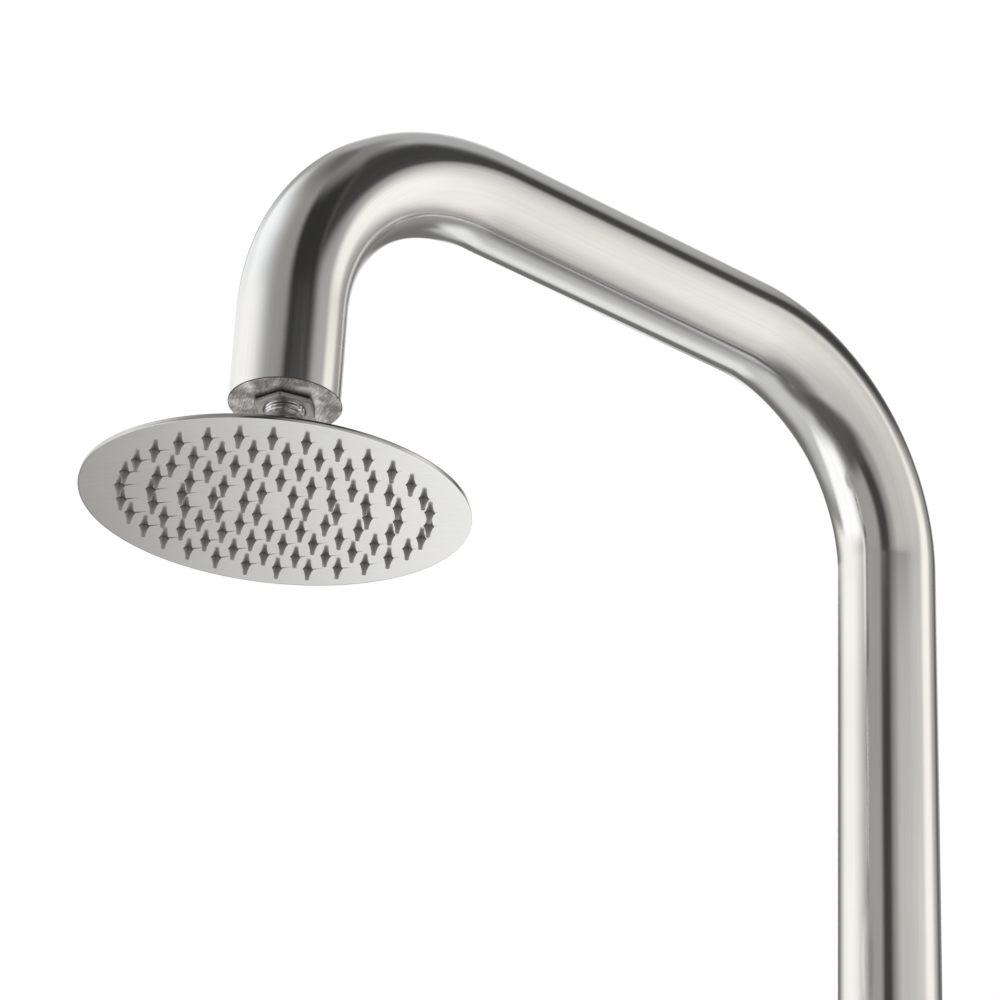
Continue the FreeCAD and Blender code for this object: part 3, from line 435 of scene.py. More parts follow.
@dataclass(frozen=True)
class NozzleSilicone(Moulded):
    """Moulded silicone of the nozzles, with painted shade: darker at the face, paler towards the
    tips.
    """

    face: Shaft = ((-0.0013, -0.446, 2.0125), (0.0454, 0.0, 0.999))
    root_band: float = 0.001
    # colour of the painted shade where the nozzles meet the face
    root_shade: Colour = (0.035, 0.033, 0.03)
    reach: float = 0.007

    def pattern(self, shader: Shader) -> dict:
        """The moulded skin, darkened towards the face by painted shade."""
        skin = super().pattern(shader)
        start, heading = self.face
        offset = shader.vector("SUBTRACT", shader.object_place(), start)
        below = shader.vector("DOT_PRODUCT", offset, heading, output=1) * -1.0
        # painted shade: a thin dark band at the face, fading out towards the tips
        unshaded = below.ramp(-self.root_band, self.root_band) * 0.35 + below.ramp(0.0, self.reach) * 0.65
        skin["Base Color"] = shader.blend(unshaded, self.root_shade, skin["Base Color"])
        return skin


@dataclass(frozen=True)
class PaleFloor(Moulded):
    """Studio floor, with a little glow of its own so that its shadows stay soft."""

    glow: float = 0.42

    def pattern(self, shader: Shader) -> dict:
        """The matt skin with its even glow."""
        return {**super().pattern(shader), "Emission Color": (1.0, 1.0, 1.0, 1.0),
                "Emission Strength": self.glow}


@dataclass(frozen=True)
class Braid(Finish):
    """Steel wire braided round a hose: crossing bands that run both ways round it."""

    tint: Colour = (0.70, 0.69, 0.67)
    gap: Colour = (0.10, 0.10, 0.10)
    waves: float = 420.0
    depth: float = 0.0004

    def pattern(self, shader: Shader) -> dict:
        """Two sets of slanted bands, one over the other, as height and colour."""
        x, y, z = shader.axes(shader.object_place())
        bands = []
        for side in (1.0, -1.0):
            slant = (z + (x + y) * side) * (self.waves * math.tau)
            bands.append(shader.math("SINE", slant) * 0.5 + 0.5)
        weave = shader.math("MAXIMUM", *bands)
        return {
            "Base Color": shader.blend(weave.ramp(0.35, 0.8), self.gap, self.tint),
            "Metallic": weave.ramp(0.2, 0.5),
            "Roughness": 0.42 - weave * 0.12,
            "Normal": bumped(shader, weave, self.depth),
        }


MOUTH: Point = (0.0, -0.446, 2.071)
JOINT: Point = (0.0, -0.446, 2.041)
VALVE_SHAFT: Shaft = ((0.0, 0.0, 1.1), FRONT)
MOUTH_SHAFT: Shaft = (MOUTH, UP)
HEAD_SHAFT: Shaft = ((0.0, -0.446, 2.0125), UP)
INLET_SHAFT: Shaft = ((0.0, 0.0, 0.15), (1.0, 0.0, 0.0))

TUBE = SatinTube("satin_tube")
SHEET = BrushedSheet("brushed_sheet")
FOOT_METAL = Turned("turned_foot")
MIXER_METAL = Turned("turned_mixer", shaft=VALVE_SHAFT)
INLET_METAL = Turned("turned_inlets", shaft=INLET_SHAFT)
PLUG_METAL = MachinedPlug("machined_plug", MOUTH)
BUSH_METAL = Turned("brushed_bush", shaft=MOUTH_SHAFT, tint=(0.50, 0.49, 0.475), shade=0.65,
                    roughness=0.36)
# painted shade: near-black metal on the mouth's rounded edge stands for the dark line where tube
# and plug meet
MOUTH_EDGE_SHADE = Turned("painted_shade_edge", shaft=MOUTH_SHAFT, tint=(0.16, 0.155, 0.15), shade=0.6,
                  roughness=0.39)
RIM_METAL = Turned("polished_rim", shaft=HEAD_SHAFT, tint=(0.62, 0.62, 0.615), roughness=0.06)
CHROME = Chrome("bright_chrome")
NOZZLES = NozzleSilicone("nozzle_silicone", (0.44, 0.435, 0.43), (0.56, 0.555, 0.545), 0.3)
BRAID = Braid("hose_braid")


class SlotFinish(Enum):
    """The finish that a carried-over node takes from its material slot, unless it has its own."""

    brushed_tube = FOOT_METAL
    brushed_plate = SHEET
    turned_steel = INLET_METAL
    bright_chrome = CHROME
    bare_brass = Brass("bare_brass")
    black_rubber = Moulded("black_rubber", (0.018, 0.018, 0.018), (0.05, 0.048, 0.045), 0.6)
    grey_silicone = NOZZLES
    white_plastic = Moulded("white_plastic", (0.80, 0.80, 0.78), (0.72, 0.72, 0.70), 0.35)
    white_ceramic = Moulded("white_ceramic", (0.86, 0.85, 0.82), (0.82, 0.81, 0.78), 0.14, 2600.0,
                            0.000003)


# ---- meshes

def dress(node: str, finish: Finish) -> None:
    """Give a carried-over node its finish."""
    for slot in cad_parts[node].material_slots:
        slot.material = finish.material()


def placed(name: str, mesh: Mesh) -> Piece:
    """Turn a mesh that is already in the part's frame into an object, and free it.

    Args:
        name: The object's name.
        mesh: Its mesh.

    Returns:
        The new object.
    """
    data = bpy.data.meshes.new(name)
    mesh.to_mesh(data)
    mesh.free()
    piece = bpy.data.objects.new(name, data)
    bpy.context.scene.collection.objects.link(piece)
    return piece


def new_piece(name: str, mesh: Mesh, finish: Finish, body: str, node: str,
              sharp: float = 0.0) -> Piece:
    """Make a piece that stands for a CAD node.

    Args:
        name: The piece's name.
        mesh: Its mesh, freed here.
        finish: Its finish.
        body: The moving body it rides on.
        node: The node that it stands for.
        sharp: Angle in degrees from which its edges are sharp, or 0 where none is.

    Returns:
        The new object.
    """
    piece = placed(name, mesh)
    piece.data.materials.append(finish.material())
    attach(piece, body)
    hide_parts(node)
    if sharp:
        piece.data.set_sharp_from_angle(angle=math.radians(sharp))
    log.info("%s: %d faces, rides on %s", name, len(piece.data.polygons), body)
    return piece


def turns(steps: int) -> list[float]:
    """Equal turns once round, in radians."""
    return [math.tau * step / steps for step in range(steps)]


def spoke(turn: float, radius: float, height: float = 0.0) -> Vector:
    """The point at a turn in radians, a radius and a height about Z."""
    return Vector((radius * math.cos(turn), radius * math.sin(turn), height))


def band(mesh: Mesh, low: Ring, high: Ring, smooth: bool = True) -> None:
    """Add the faces between two rings, which face outward where the high one is above."""
    for quad in zip(low, low[1:] + low[:1], high[1:] + high[:1], high):
        mesh.faces.new(quad).smooth = smooth


def lathe(mesh: Mesh, profile: Sequence[Spot], place: Matrix, steps: int,
          closed: bool = False) -> list[Ring]:
    """Spin a profile of radius and height about Z and set it in place.

    Args:
        mesh: Where it goes.
        profile: Points of radius and height, with the outer surface on the right of the way up.
        place: Its place and turn in the part's frame.
        steps: Steps round.
        closed: Whether the profile's last point joins its first.

    Returns:
        The rings of vertices, one for each point.
    """
    rings = [[mesh.verts.new(place @ spoke(turn, radius, height)) for turn in turns(steps)]
             for radius, height in profile]
    for low, high in zip(rings, rings[1:] + rings[:1] if closed else rings[1:]):
        band(mesh, low, high)
    return rings


def rounded(centre: Spot, radius: float, start: float, end: float, steps: int) -> list[Spot]:
    """Points of a rounding about its centre, from one direction in degrees to another."""
    ways = [math.radians(start + (end - start) * step / steps) for step in range(steps + 1)]
    return [(centre[0] + radius * math.cos(way), centre[1] + radius * math.sin(way))
            for way in ways]


def sheet_with_holes(mesh: Mesh, rings: Sequence[Ring], normal: Vector) -> None:
    """Fill the flat area between an outer ring and the rings of its holes.

    Args:
        mesh: Where it goes.
        rings: Rings of vertices in one plane.
        normal: The way that the sheet faces.
    """
    edges = []
    for ring in rings:
        for ends in zip(ring, ring[1:] + ring[:1]):
            edges.append(mesh.edges.get(ends) or mesh.edges.new(ends))
    filled = bmesh.ops.triangle_fill(mesh, use_beauty=True, use_dissolve=False, edges=edges,
                                     normal=normal)
    for face in (made for made in filled["geom"] if isinstance(made, bmesh.types.BMFace)):
        if face.normal.dot(normal) < 0:
            face.normal_flip()


# ---- post

@dataclass
class Route:
    """The gooseneck's centre line in the plane of Y and Z: post, bend, arm, bend, drop."""

    arm_height: float = 2.250
    reach: float = 0.446
    bend: float = 0.124
    low: float = 0.010
    mouth: float = 2.071
    post_steps: int = 24
    bend_steps: int = 90
    arm_steps: int = 4
    drop_steps: int = 3

    @property
    def bends(self) -> float:
        """Height of both bends' centres."""
        return self.arm_height - self.bend

    @property
    def near(self) -> Vector:
        """Centre of the bend over the post."""
        return Vector((0, -self.bend, self.bends))

    @property
    def far(self) -> Vector:
        """Centre of the bend over the head."""
        return Vector((0, self.bend - self.reach, self.bends))

    @staticmethod
    def outward(lean: float) -> Vector:
        """The way out of the bends, square to the line, where it leans by so much."""
        return Vector((0, math.cos(lean), math.sin(lean)))

    def stations(self) -> list[tuple[Vector, float]]:
        """Points along the centre line with the way that it leans.

        Returns:
            Points, each with its lean from upright in radians.
        """
        leans = [QUARTER * step / self.bend_steps for step in range(self.bend_steps + 1)]
        line = []
        for step in range(self.post_steps):
            height = self.low + (self.bends - self.low) * step / self.post_steps
            line.append((Vector((0, 0, height)), 0.0))
        line += [(self.near + self.bend * self.outward(lean), lean) for lean in leans]
        for step in range(1, self.arm_steps):
            ahead = self.near.y + (self.far.y - self.near.y) * step / self.arm_steps
            line.append((Vector((0, ahead, self.arm_height)), QUARTER))
        line += [(self.far + self.bend * self.outward(QUARTER + lean), QUARTER + lean)
                 for lean in leans]
        for step in range(1, self.drop_steps + 1):
            height = self.bends + (self.mouth - self.bends) * step / self.drop_steps
            line.append((Vector((0, -self.reach, height)), math.pi))
        return line

    def nearest(self, point: Vector) -> tuple[Vector, float, float]:
        """The centre line beside a point.

        Args:
            point: A point of the tube.

        Returns:
            The nearest centre, the distance along the line, and its lean in radians.
        """
        arc = self.bend * QUARTER
        straight = self.reach - 2 * self.bend
        if point.z < self.bends and point.y > -self.reach / 2:
            return Vector((0, 0, point.z)), point.z, 0.0
        if point.z < self.bends:
            along = 2 * (self.bends + arc) + straight - point.z
            return Vector((0, -self.reach, point.z)), along, math.pi
        if self.bend - self.reach < point.y <= -self.bend:
            along = self.bends + arc - self.bend - point.y
            return Vector((0, point.y, self.arm_height)), along, QUARTER
        over_post = point.y > -self.bend
        centre = self.near if over_post else self.far
        lean = math.atan2(point.z - self.bends, point.y - centre.y)
        along = self.bends + self.bend * lean + (0.0 if over_post else straight)
        return centre + self.bend * self.outward(lean), along, lean


@dataclass
class Gooseneck:
    """The bent post tube with its holes, its mouth's edge and the plug in it."""

    route: Route
    outer: float = 0.030
    bore: float = 0.0285
    edge: float = 0.0005
    edge_steps: int = 3
    steps: int = 192
    mixer_hole: float = 0.01625
    mixer_height: float = 1.100
    inlet_hole: float = 0.01125
    inlet_height: float = 0.150
    screw_hole: float = 0.00325
    screw_height: float = 0.065
    screws: int = 3
    bar: float = 0.06
    screw_bar: float = 0.01
    bar_steps: int = 64
    wall_cosine: float = 0.999
    edge_slope: float = -0.15
    end_slope: float = -0.9

    def ring(self, mesh: Mesh, centre: Vector, lean: float, radius: float) -> Ring:
        """A ring of vertices square to the centre line."""
        side, outward = Vector((1, 0, 0)), self.route.outward(lean)
        return [mesh.verts.new(centre + radius * (math.cos(turn) * side + math.sin(turn) * outward))
                for turn in turns(self.steps)]

    def shell(self) -> Mesh:
        """The bent tube without its holes.

        Returns:
            A closed mesh: outer wall, mouth, bore and foot.
        """
        mesh = bmesh.new()
        stations = self.route.stations()
        outer = [self.ring(mesh, *station, self.outer) for station in stations[:-1]]
        mouth = stations[-1][0]
        for step in range(self.edge_steps + 1):
            turn = QUARTER * step / self.edge_steps
            rise = Vector((0, 0, self.edge * (1 - math.sin(turn))))
            eased = self.outer - self.edge * (1 - math.cos(turn))
            outer.append(self.ring(mesh, mouth + rise, math.pi, eased))
        bore = [self.ring(mesh, *station, self.bore) for station in stations]
        loop = outer + bore[::-1]
        for low, high in zip(loop, loop[1:] + loop[:1]):
            band(mesh, low, high)
        return mesh

    def drill(self) -> Piece:
        """Make the bars that the holes are cut with.

        Returns:
            One object of all the bars.
        """
        mesh = bmesh.new()
        front, across = (Matrix.Rotation(QUARTER, 4, axis) for axis in "XY")
        bars = [(self.mixer_hole, self.mixer_height, front, 0.0),
                (self.inlet_hole, self.inlet_height, across, -self.bar)]
        back = Matrix.Rotation(-QUARTER, 4, "X")
        for screw in range(self.screws):
            turn = Matrix.Rotation(math.tau * screw / self.screws, 4, "Z") @ back
            bars.append((self.screw_hole, self.screw_height, turn, self.screw_bar))
        for radius, height, turn, start in bars:
            place = Matrix.Translation((0, 0, height)) @ turn
            rings = lathe(mesh, [(radius, start), (radius, self.bar)], place, self.bar_steps)
            mesh.faces.new(reversed(rings[0]))
            mesh.faces.new(rings[1])
        return placed("drill", mesh)

    def holed(self) -> Mesh:
        """Cut the holes through the tube.

        Returns:
            The mesh of the tube with its holes.
        """
        tube, drill = placed("shell", self.shell()), self.drill()
        cut = tube.modifiers.new("holes", "BOOLEAN")
        cut.operation, cut.solver, cut.object = "DIFFERENCE", "EXACT", drill
        bpy.context.view_layer.update()
        mesh = bmesh.new()
        mesh.from_mesh(tube.evaluated_get(bpy.context.evaluated_depsgraph_get()).to_mesh())
        for made in (tube, drill):
            leftover = made.data
            bpy.data.objects.remove(made)
            bpy.data.meshes.remove(leftover)
        return mesh

    def shade(self, piece: Piece) -> None:
        """Write smooth normals and the streaks' own coordinates from the centre line.

        Args:
            piece: The tube's object.
        """
        data = piece.data
        radial, places = [], []
        for vertex in data.vertices:
            centre, along, lean = self.route.nearest(vertex.co)
            out = vertex.co - centre
            radial.append(out)
            places.extend((out.x, out.dot(self.route.outward(lean)), along))
        route = data.attributes.new("route", "FLOAT_VECTOR", "POINT")
        route.data.foreach_set("vector", places)
        normals = [Vector()] * len(data.loops)
        for face in data.polygons:
            for corner in face.loop_indices:
                out = radial[data.loops[corner].vertex_index]
                slope = face.normal.dot(out) / out.length
                if abs(slope) > self.wall_cosine:
                    normals[corner] = out.normalized() * math.copysign(1.0, slope)
                else:
                    normals[corner] = face.normal.copy()
        data.normals_split_custom_set(normals)

    def build(self) -> None:
        """Make the tube, with the plug's finish inside its mouth and a near-black metal as painted
        shade round its edge.
        """
        tube = new_piece("satin_post", self.holed(), TUBE, "post", "post_tube")
        self.shade(tube)
        tube.data.materials.append(PLUG_METAL.material())
        tube.data.materials.append(MOUTH_EDGE_SHADE.material())
        # the mouth's end takes the plug's finish, and its rounded edge the painted shade
        for face in tube.data.polygons:
            in_drop = face.center.y < -self.route.reach / 2
            if in_drop and face.center.z < self.route.mouth + self.edge:
                if face.normal.z < self.edge_slope:
                    face.material_index = 1 if face.normal.z < self.end_slope else 2
        dress("end_plug", PLUG_METAL)


# ---- shower head

@dataclass
class SprayHead:
    """The thin round head that rides on the ball joint: its face, rim and nozzle mat."""

    radius: float = 0.1015
    thickness: float = 0.0024
    sheet: float = 0.0006
    corner: float = 0.0002
    flat_margin: float = 0.0004
    steps: int = 256
    lean: float = 2.6
    drop: float = 0.0285
    rings: int = 5
    pitch: float = 0.016
    turn: float = -0.9
    nub_root: float = 0.0025
    nub_cone: float = 0.0044
    nub_tip: float = 0.0012
    nub_blunt: float = 0.0004
    nub_length: float = 0.006
    nub_steps: int = 24
    flare_steps: int = 6
    flare_curve: float = 1.2
    bore: Sequence[Spot] = ((0.0005, 0.0006), (0.00062, 0.00006))
    hole: float = 0.0028
    # painted shadows of the nozzles: dark trails beside the holes along one heading
    tail_heading: float = 30.0
    tail_width: float = 0.0013
    tail_short: float = 0.003
    tail_long: float = 0.0098
    tail_start: float = 0.00015
    tail_notch: float = 0.0001
    tail_aside: float = 0.0003
    tail_ahead: float = 0.0006
    tail_faint: float = 0.4
    tail_gain: float = 1.1
    mat_radius: float = 0.085
    mat_low: float = 0.00065
    mat_high: float = 0.00115
    mat_steps: int = 128
    rim_slope: float = 0.6
    rim_width: float = 0.001

    @property
    def place(self) -> Matrix:
        """From the face's own frame to the part's."""
        return (Matrix.Translation(JOINT) @ Matrix.Rotation(math.radians(self.lean), 4, "Y")
                @ Matrix.Translation((0, 0, -self.drop)))

    @property
    def down(self) -> Vector:
        """The way that the face looks."""
        return self.place.to_3x3() @ Vector((0, 0, -1))

    def centres(self) -> list[Vector]:
        """The nozzles' centres on the face: six more on each ring than on the one inside it."""
        return [spoke(math.radians(self.turn + 60.0 * step / ring), 1.0) * ring * self.pitch
                for ring in range(1, self.rings + 1) for step in range(6 * ring)]

    def hole_ring(self, mesh: Mesh, centre: Vector, height: float) -> Ring:
        """A ring of vertices round a nozzle's hole."""
        return [mesh.verts.new(self.place @ (centre + spoke(turn, self.hole, height)))
                for turn in turns(self.nub_steps)]

    def face(self) -> Mesh:
        """The face with its turned-up rim and its holes.

        Returns:
            A closed mesh in the part's frame.
        """
        mesh = bmesh.new()
        # this layer carries the painted shadow of the nozzles
        mesh.verts.layers.float.new("drag")
        inner, edge = self.radius - self.sheet, self.radius - self.corner
        flat = inner - self.flat_margin
        profile = [(flat, 0.0), *rounded((edge, self.corner), self.corner, -90, 0, 5),
                   *rounded((edge, self.thickness - self.corner), self.corner, 0, 90, 3),
                   (inner, self.thickness), (inner, self.sheet), (flat, self.sheet)]
        rings = lathe(mesh, profile, self.place, self.steps)
        low, high = [rings[0]], [rings[-1]]
        for centre in self.centres():
            low.append(self.hole_ring(mesh, centre, 0.0))
            high.append(self.hole_ring(mesh, centre, self.sheet))
            band(mesh, high[-1], low[-1])
        nub_shadows = [self.tail(mesh, centre) for centre in self.centres()]
        sheet_with_holes(mesh, low + nub_shadows, self.down)
        sheet_with_holes(mesh, high, -self.down)
        return mesh

    def tail(self, mesh: Mesh, centre: Vector) -> Ring:
        """A nozzle's painted shadow: a thin dark trail beside its hole, longer towards the rear of
        the face along the heading.

        Args:
            mesh: The face's mesh, with the layer that the finish reads.
            centre: The hole's centre on the face.

        Returns:
            The painted shadow's outline.
        """
        heading = math.radians(self.tail_heading)
        along, across = spoke(heading, 1.0), Vector((-math.sin(heading), math.cos(heading), 0))
        back_share = 0.5 - 0.5 * centre.dot(along) / (self.rings * self.pitch)
        length = self.tail_short + (self.tail_long - self.tail_short) * back_share
        for other in self.centres():
            ahead, aside = (other - centre).dot(along), abs((other - centre).dot(across))
            if ahead > 0 and aside < self.hole + self.tail_width + self.tail_aside:
                length = min(length, ahead - 2 * self.hole - self.tail_ahead)
        start, side = centre + along * (self.hole + self.tail_start), across * self.tail_width
        notch = start + along * self.tail_notch
        spots = [start - side, start + along * length, start + side, notch]
        corners = [mesh.verts.new(self.place @ spot) for spot in spots]
        # how dark the painted shadow is, darker towards the face's rear along the heading
        corners[3][mesh.verts.layers.float["drag"]] = self.tail_faint + self.tail_gain * back_share
        for first in (0, 1):
            face = mesh.faces.new((corners[first], corners[first + 1], corners[3]))
            face.normal_update()
            if face.normal.z > 0:
                face.normal_flip()
        return corners

    def nub(self) -> list[Spot]:
        """A nozzle's outline: its bore, blunt tip and hollow flare down to a wide root.

        Returns:
            Points of radius and height, from the top of the bore round to the root.
        """
        tip, spread = -self.nub_length, self.nub_root - self.nub_tip
        flare = [(self.nub_tip + spread * (step / self.flare_steps) ** self.flare_curve,
                  -self.nub_cone * (1 - step / self.flare_steps))
                 for step in range(self.flare_steps + 1)]
        bore = [(radius, tip + deep) for radius, deep in self.bore]
        return [(bore[0][0], self.mat_high), *bore,
                *rounded((self.nub_tip - self.nub_blunt, tip + self.nub_blunt), self.nub_blunt,
                         -90, 0, 4),
                *flare, (self.nub_root, self.mat_low)]

    def mat(self) -> Mesh:
        """The nozzle mat: a thin disc with rounded nubs that stand out of the face.

        Returns:
            A closed mesh in the part's frame.
        """
        mesh = bmesh.new()
        rim = [(self.mat_radius, self.mat_low), (self.mat_radius, self.mat_high)]
        low, high = ([ring] for ring in lathe(mesh, rim, self.place, self.mat_steps))
        for centre in self.centres():
            place = self.place @ Matrix.Translation(centre)
            rings = lathe(mesh, self.nub(), place, self.nub_steps)
            high.append(rings[0])
            low.append(rings[-1])
        sheet_with_holes(mesh, low, self.down)
        sheet_with_holes(mesh, high, -self.down)
        return mesh

    def build(self) -> None:
        """Make the face with its bright rim, and the mat."""
        face = new_piece("spray_face", self.face(), SHEET, "head", "spray_plate",
                         40)
        face.data.materials.append(RIM_METAL.material())
        for side in face.data.polygons:
            off_centre = (side.center - Vector(JOINT)).length
            if abs(side.normal.z) < self.rim_slope and off_centre > self.radius - self.rim_width:
                side.material_index = 1
        new_piece("spray_nozzles", self.mat(), NOZZLES, "head", "nozzle_mat", 60)


@dataclass
class NeckFittings:
    """What hangs the head on the post: the hexagon bush and the chrome fitting screwed in it."""

    gasket: float = 0.0008
    hexagon: float = 0.0026
    flats: float = 0.030
    corner_round: float = 0.0015
    corner_steps: int = 6
    eased: Sequence[Spot] = ((0.0006, 0.0), (0.0001, 0.0003), (0.0, 0.0006), (0.0, 0.0022),
                             (0.0003, 0.0026))
    bush_turn: float = 15.0
    bush_top: float = 0.0136
    bush_radius: float = 0.013
    tail_radius: float = 0.00597
    tail_bore: float = 0.005
    tail_length: float = 0.018
    thread_radius: float = 0.01051
    thread_deep: float = 0.014
    sink_wide: float = 0.0010
    sink_deep: float = 0.0009
    steps: int = 96
    housing: Sequence[Spot] = ((0.005, 0.0115), (0.0105, 0.0115), (0.0105, -0.001),
                               (0.01247, -0.001), (0.01247, 0.00905), (0.0137, 0.00905),
                               (0.014, 0.00935), (0.014, 0.015))
    neck_radius: float = 0.010
    neck_top: float = 0.023
    neck_curve: float = 2.6
    neck_steps: int = 12
    ridges: int = 8
    thread_pitch: float = 0.001814
    crest: float = 0.0104775
    root: float = 0.0095275
    thread_length: float = 0.015
    strainer_radius: float = 0.00805
    strainer_deep: float = 0.0015

    def hexagon_ring(self, inset: float, height: float) -> list[Vector]:
        """Points round the hexagon, with its corners rounded.

        Args:
            inset: How far inside the full outline.
            height: Height above the mouth.

        Returns:
            The points in order.
        """
        points = []
        reach = (self.flats / 2 - self.corner_round) / math.cos(math.pi / 6)
        for corner in range(6):
            middle = math.radians(self.bush_turn + 60 * corner)
            for step in range(self.corner_steps + 1):
                heading = middle + math.radians(-30 + 60 * step / self.corner_steps)
                points.append(spoke(middle, reach, height)
                              + spoke(heading, self.corner_round - inset))
        return points

    def bush(self) -> Mesh:
        """The bush under the plug: hexagon with eased corners, countersunk thread and hose tail.

        Returns:
            A closed mesh in the part's frame.
        """
        mesh = bmesh.new()
        place = Matrix.Translation(MOUTH)
        low, top = -self.gasket - self.hexagon, self.bush_top
        rings = [[mesh.verts.new(place @ point) for point in self.hexagon_ring(inset, low + rise)]
                 for inset, rise in self.eased]
        for lower, upper in zip(rings, rings[1:]):
            band(mesh, lower, upper, smooth=False)
        end, deep = top + self.tail_length, low + self.thread_deep
        profile = [(self.bush_radius, -self.gasket), (self.bush_radius, top),
                   (self.tail_radius, top), (self.tail_radius, end), (self.tail_bore, end),
                   (self.tail_bore, deep), (self.thread_radius, deep),
                   (self.thread_radius, low + self.sink_deep),
                   (self.thread_radius + self.sink_wide, low)]
        shank = lathe(mesh, profile, place, self.steps)
        sheet_with_holes(mesh, [rings[-1], shank[0]], Vector((0, 0, 1)))
        sheet_with_holes(mesh, [rings[0], shank[-1]], Vector((0, 0, -1)))
        return mesh

    def neck(self) -> Mesh:
        """The chrome fitting in the bush: ball housing, hollow neck, thread, strainer's seat.

        Returns:
            A closed mesh in the part's frame.
        """
        mesh = bmesh.new()
        profile = list(self.housing)
        rim, foot = profile[-1]
        spread, tall = rim - self.neck_radius, self.neck_top - foot
        for step in range(1, self.neck_steps + 1):
            share = 1 - step / self.neck_steps
            profile.append((self.neck_radius + spread * share ** self.neck_curve,
                            self.neck_top - tall * share))
        for ridge in range(self.ridges):
            for radius, rise in ((self.crest, 0.25), (self.crest, 0.45), (self.root, 0.7),
                                 (self.root, 0.9)):
                profile.append((radius, self.neck_top + (ridge + rise) * self.thread_pitch))
        top = self.neck_top + self.thread_length
        seat = top - self.strainer_deep
        profile += [(self.root, top), (self.strainer_radius, top), (self.strainer_radius, seat),
                    (self.tail_bore, seat)]
        lathe(mesh, profile, Matrix.Translation(JOINT), self.steps, closed=True)
        return mesh

    def build(self) -> None:
        """Make the bush and the fitting, and dress the boss under them."""
        new_piece("hexagon_bush", self.bush(), BUSH_METAL, "post", "hex_bush", 25)
        new_piece("threaded_neck", self.neck(), CHROME, "post", "swivel_body", 30)
        dress("head_boss", CHROME)


# ---- foot, inlets and mixer

@dataclass
class Foot:
    """The floor plate, the spigot on it and the rose over them."""

    def build(self) -> None:
        """Dress the foot's pieces, whose screws keep their slot's chrome."""
        for node in ("floor_plate", "foot_spigot", "foot_rose"):
            dress(node, FOOT_METAL)


@dataclass
class Inlets:
    """The two water inlets with the hoses behind them."""

    def build(self) -> None:
        """Dress the inlets' locknuts and the hoses."""
        dress("inlet_locknuts", INLET_METAL)
        for node in ("hot_hose", "cold_hose", "riser_hose"):
            dress(node, BRAID)


@dataclass
class Mixer:
    """The lever mixer in the post's front."""

    def build(self) -> None:
        """Dress the mixer's turned pieces, whose dome keeps its slot's chrome."""
        for node in ("valve_trim", "handle_hub", "lever_rod", "clamp_nut"):
            dress(node, MIXER_METAL)


# ---- studio

WARM: Colour = (1.0, 0.965, 0.915)
CREAM: Colour = (1.0, 0.985, 0.94)
WHITE: Colour = (1.0, 1.0, 1.0)
COOL: Colour = (0.985, 1.0, 1.01)
ALL_ROUND: Reach = (180.0, 180.1)


@dataclass(frozen=True)
class SoftBox:
    """One soft light or dark flag of the studio, by the directions that it fills, in degrees.

    Each reach is how far the box is full from its middle, and how far off it has faded.
    """

    name: str
    azimuth: float
    height: float
    left: Reach
    right: Reach
    down: Reach
    up: Reach
    level: float
    cast: Colour = WHITE

    def over(self, shader: Shader, azimuth: Value, height: Value, behind: Tone) -> Value:
        """Lay the box over what is behind it.

        Args:
            shader: The world's shader.
            azimuth: Direction round the post in degrees, 0 towards -Y and 90 towards +X.
            height: Direction above the horizon in degrees.
            behind: The colour behind the box.

        Returns:
            The colour with the box in it.
        """
        across = shader.math("WRAP", azimuth - self.azimuth, 180.0, -180.0)
        rise = height - self.height
        share = 1.0 - rise.ramp(*self.up)
        sides = ((across * -1.0, self.left), (across, self.right), (rise * -1.0, self.down))
        for offset, reach in sides:
            share = share * (1.0 - offset.ramp(*reach))
        return shader.blend(share, behind, scaled(self.cast, self.level))


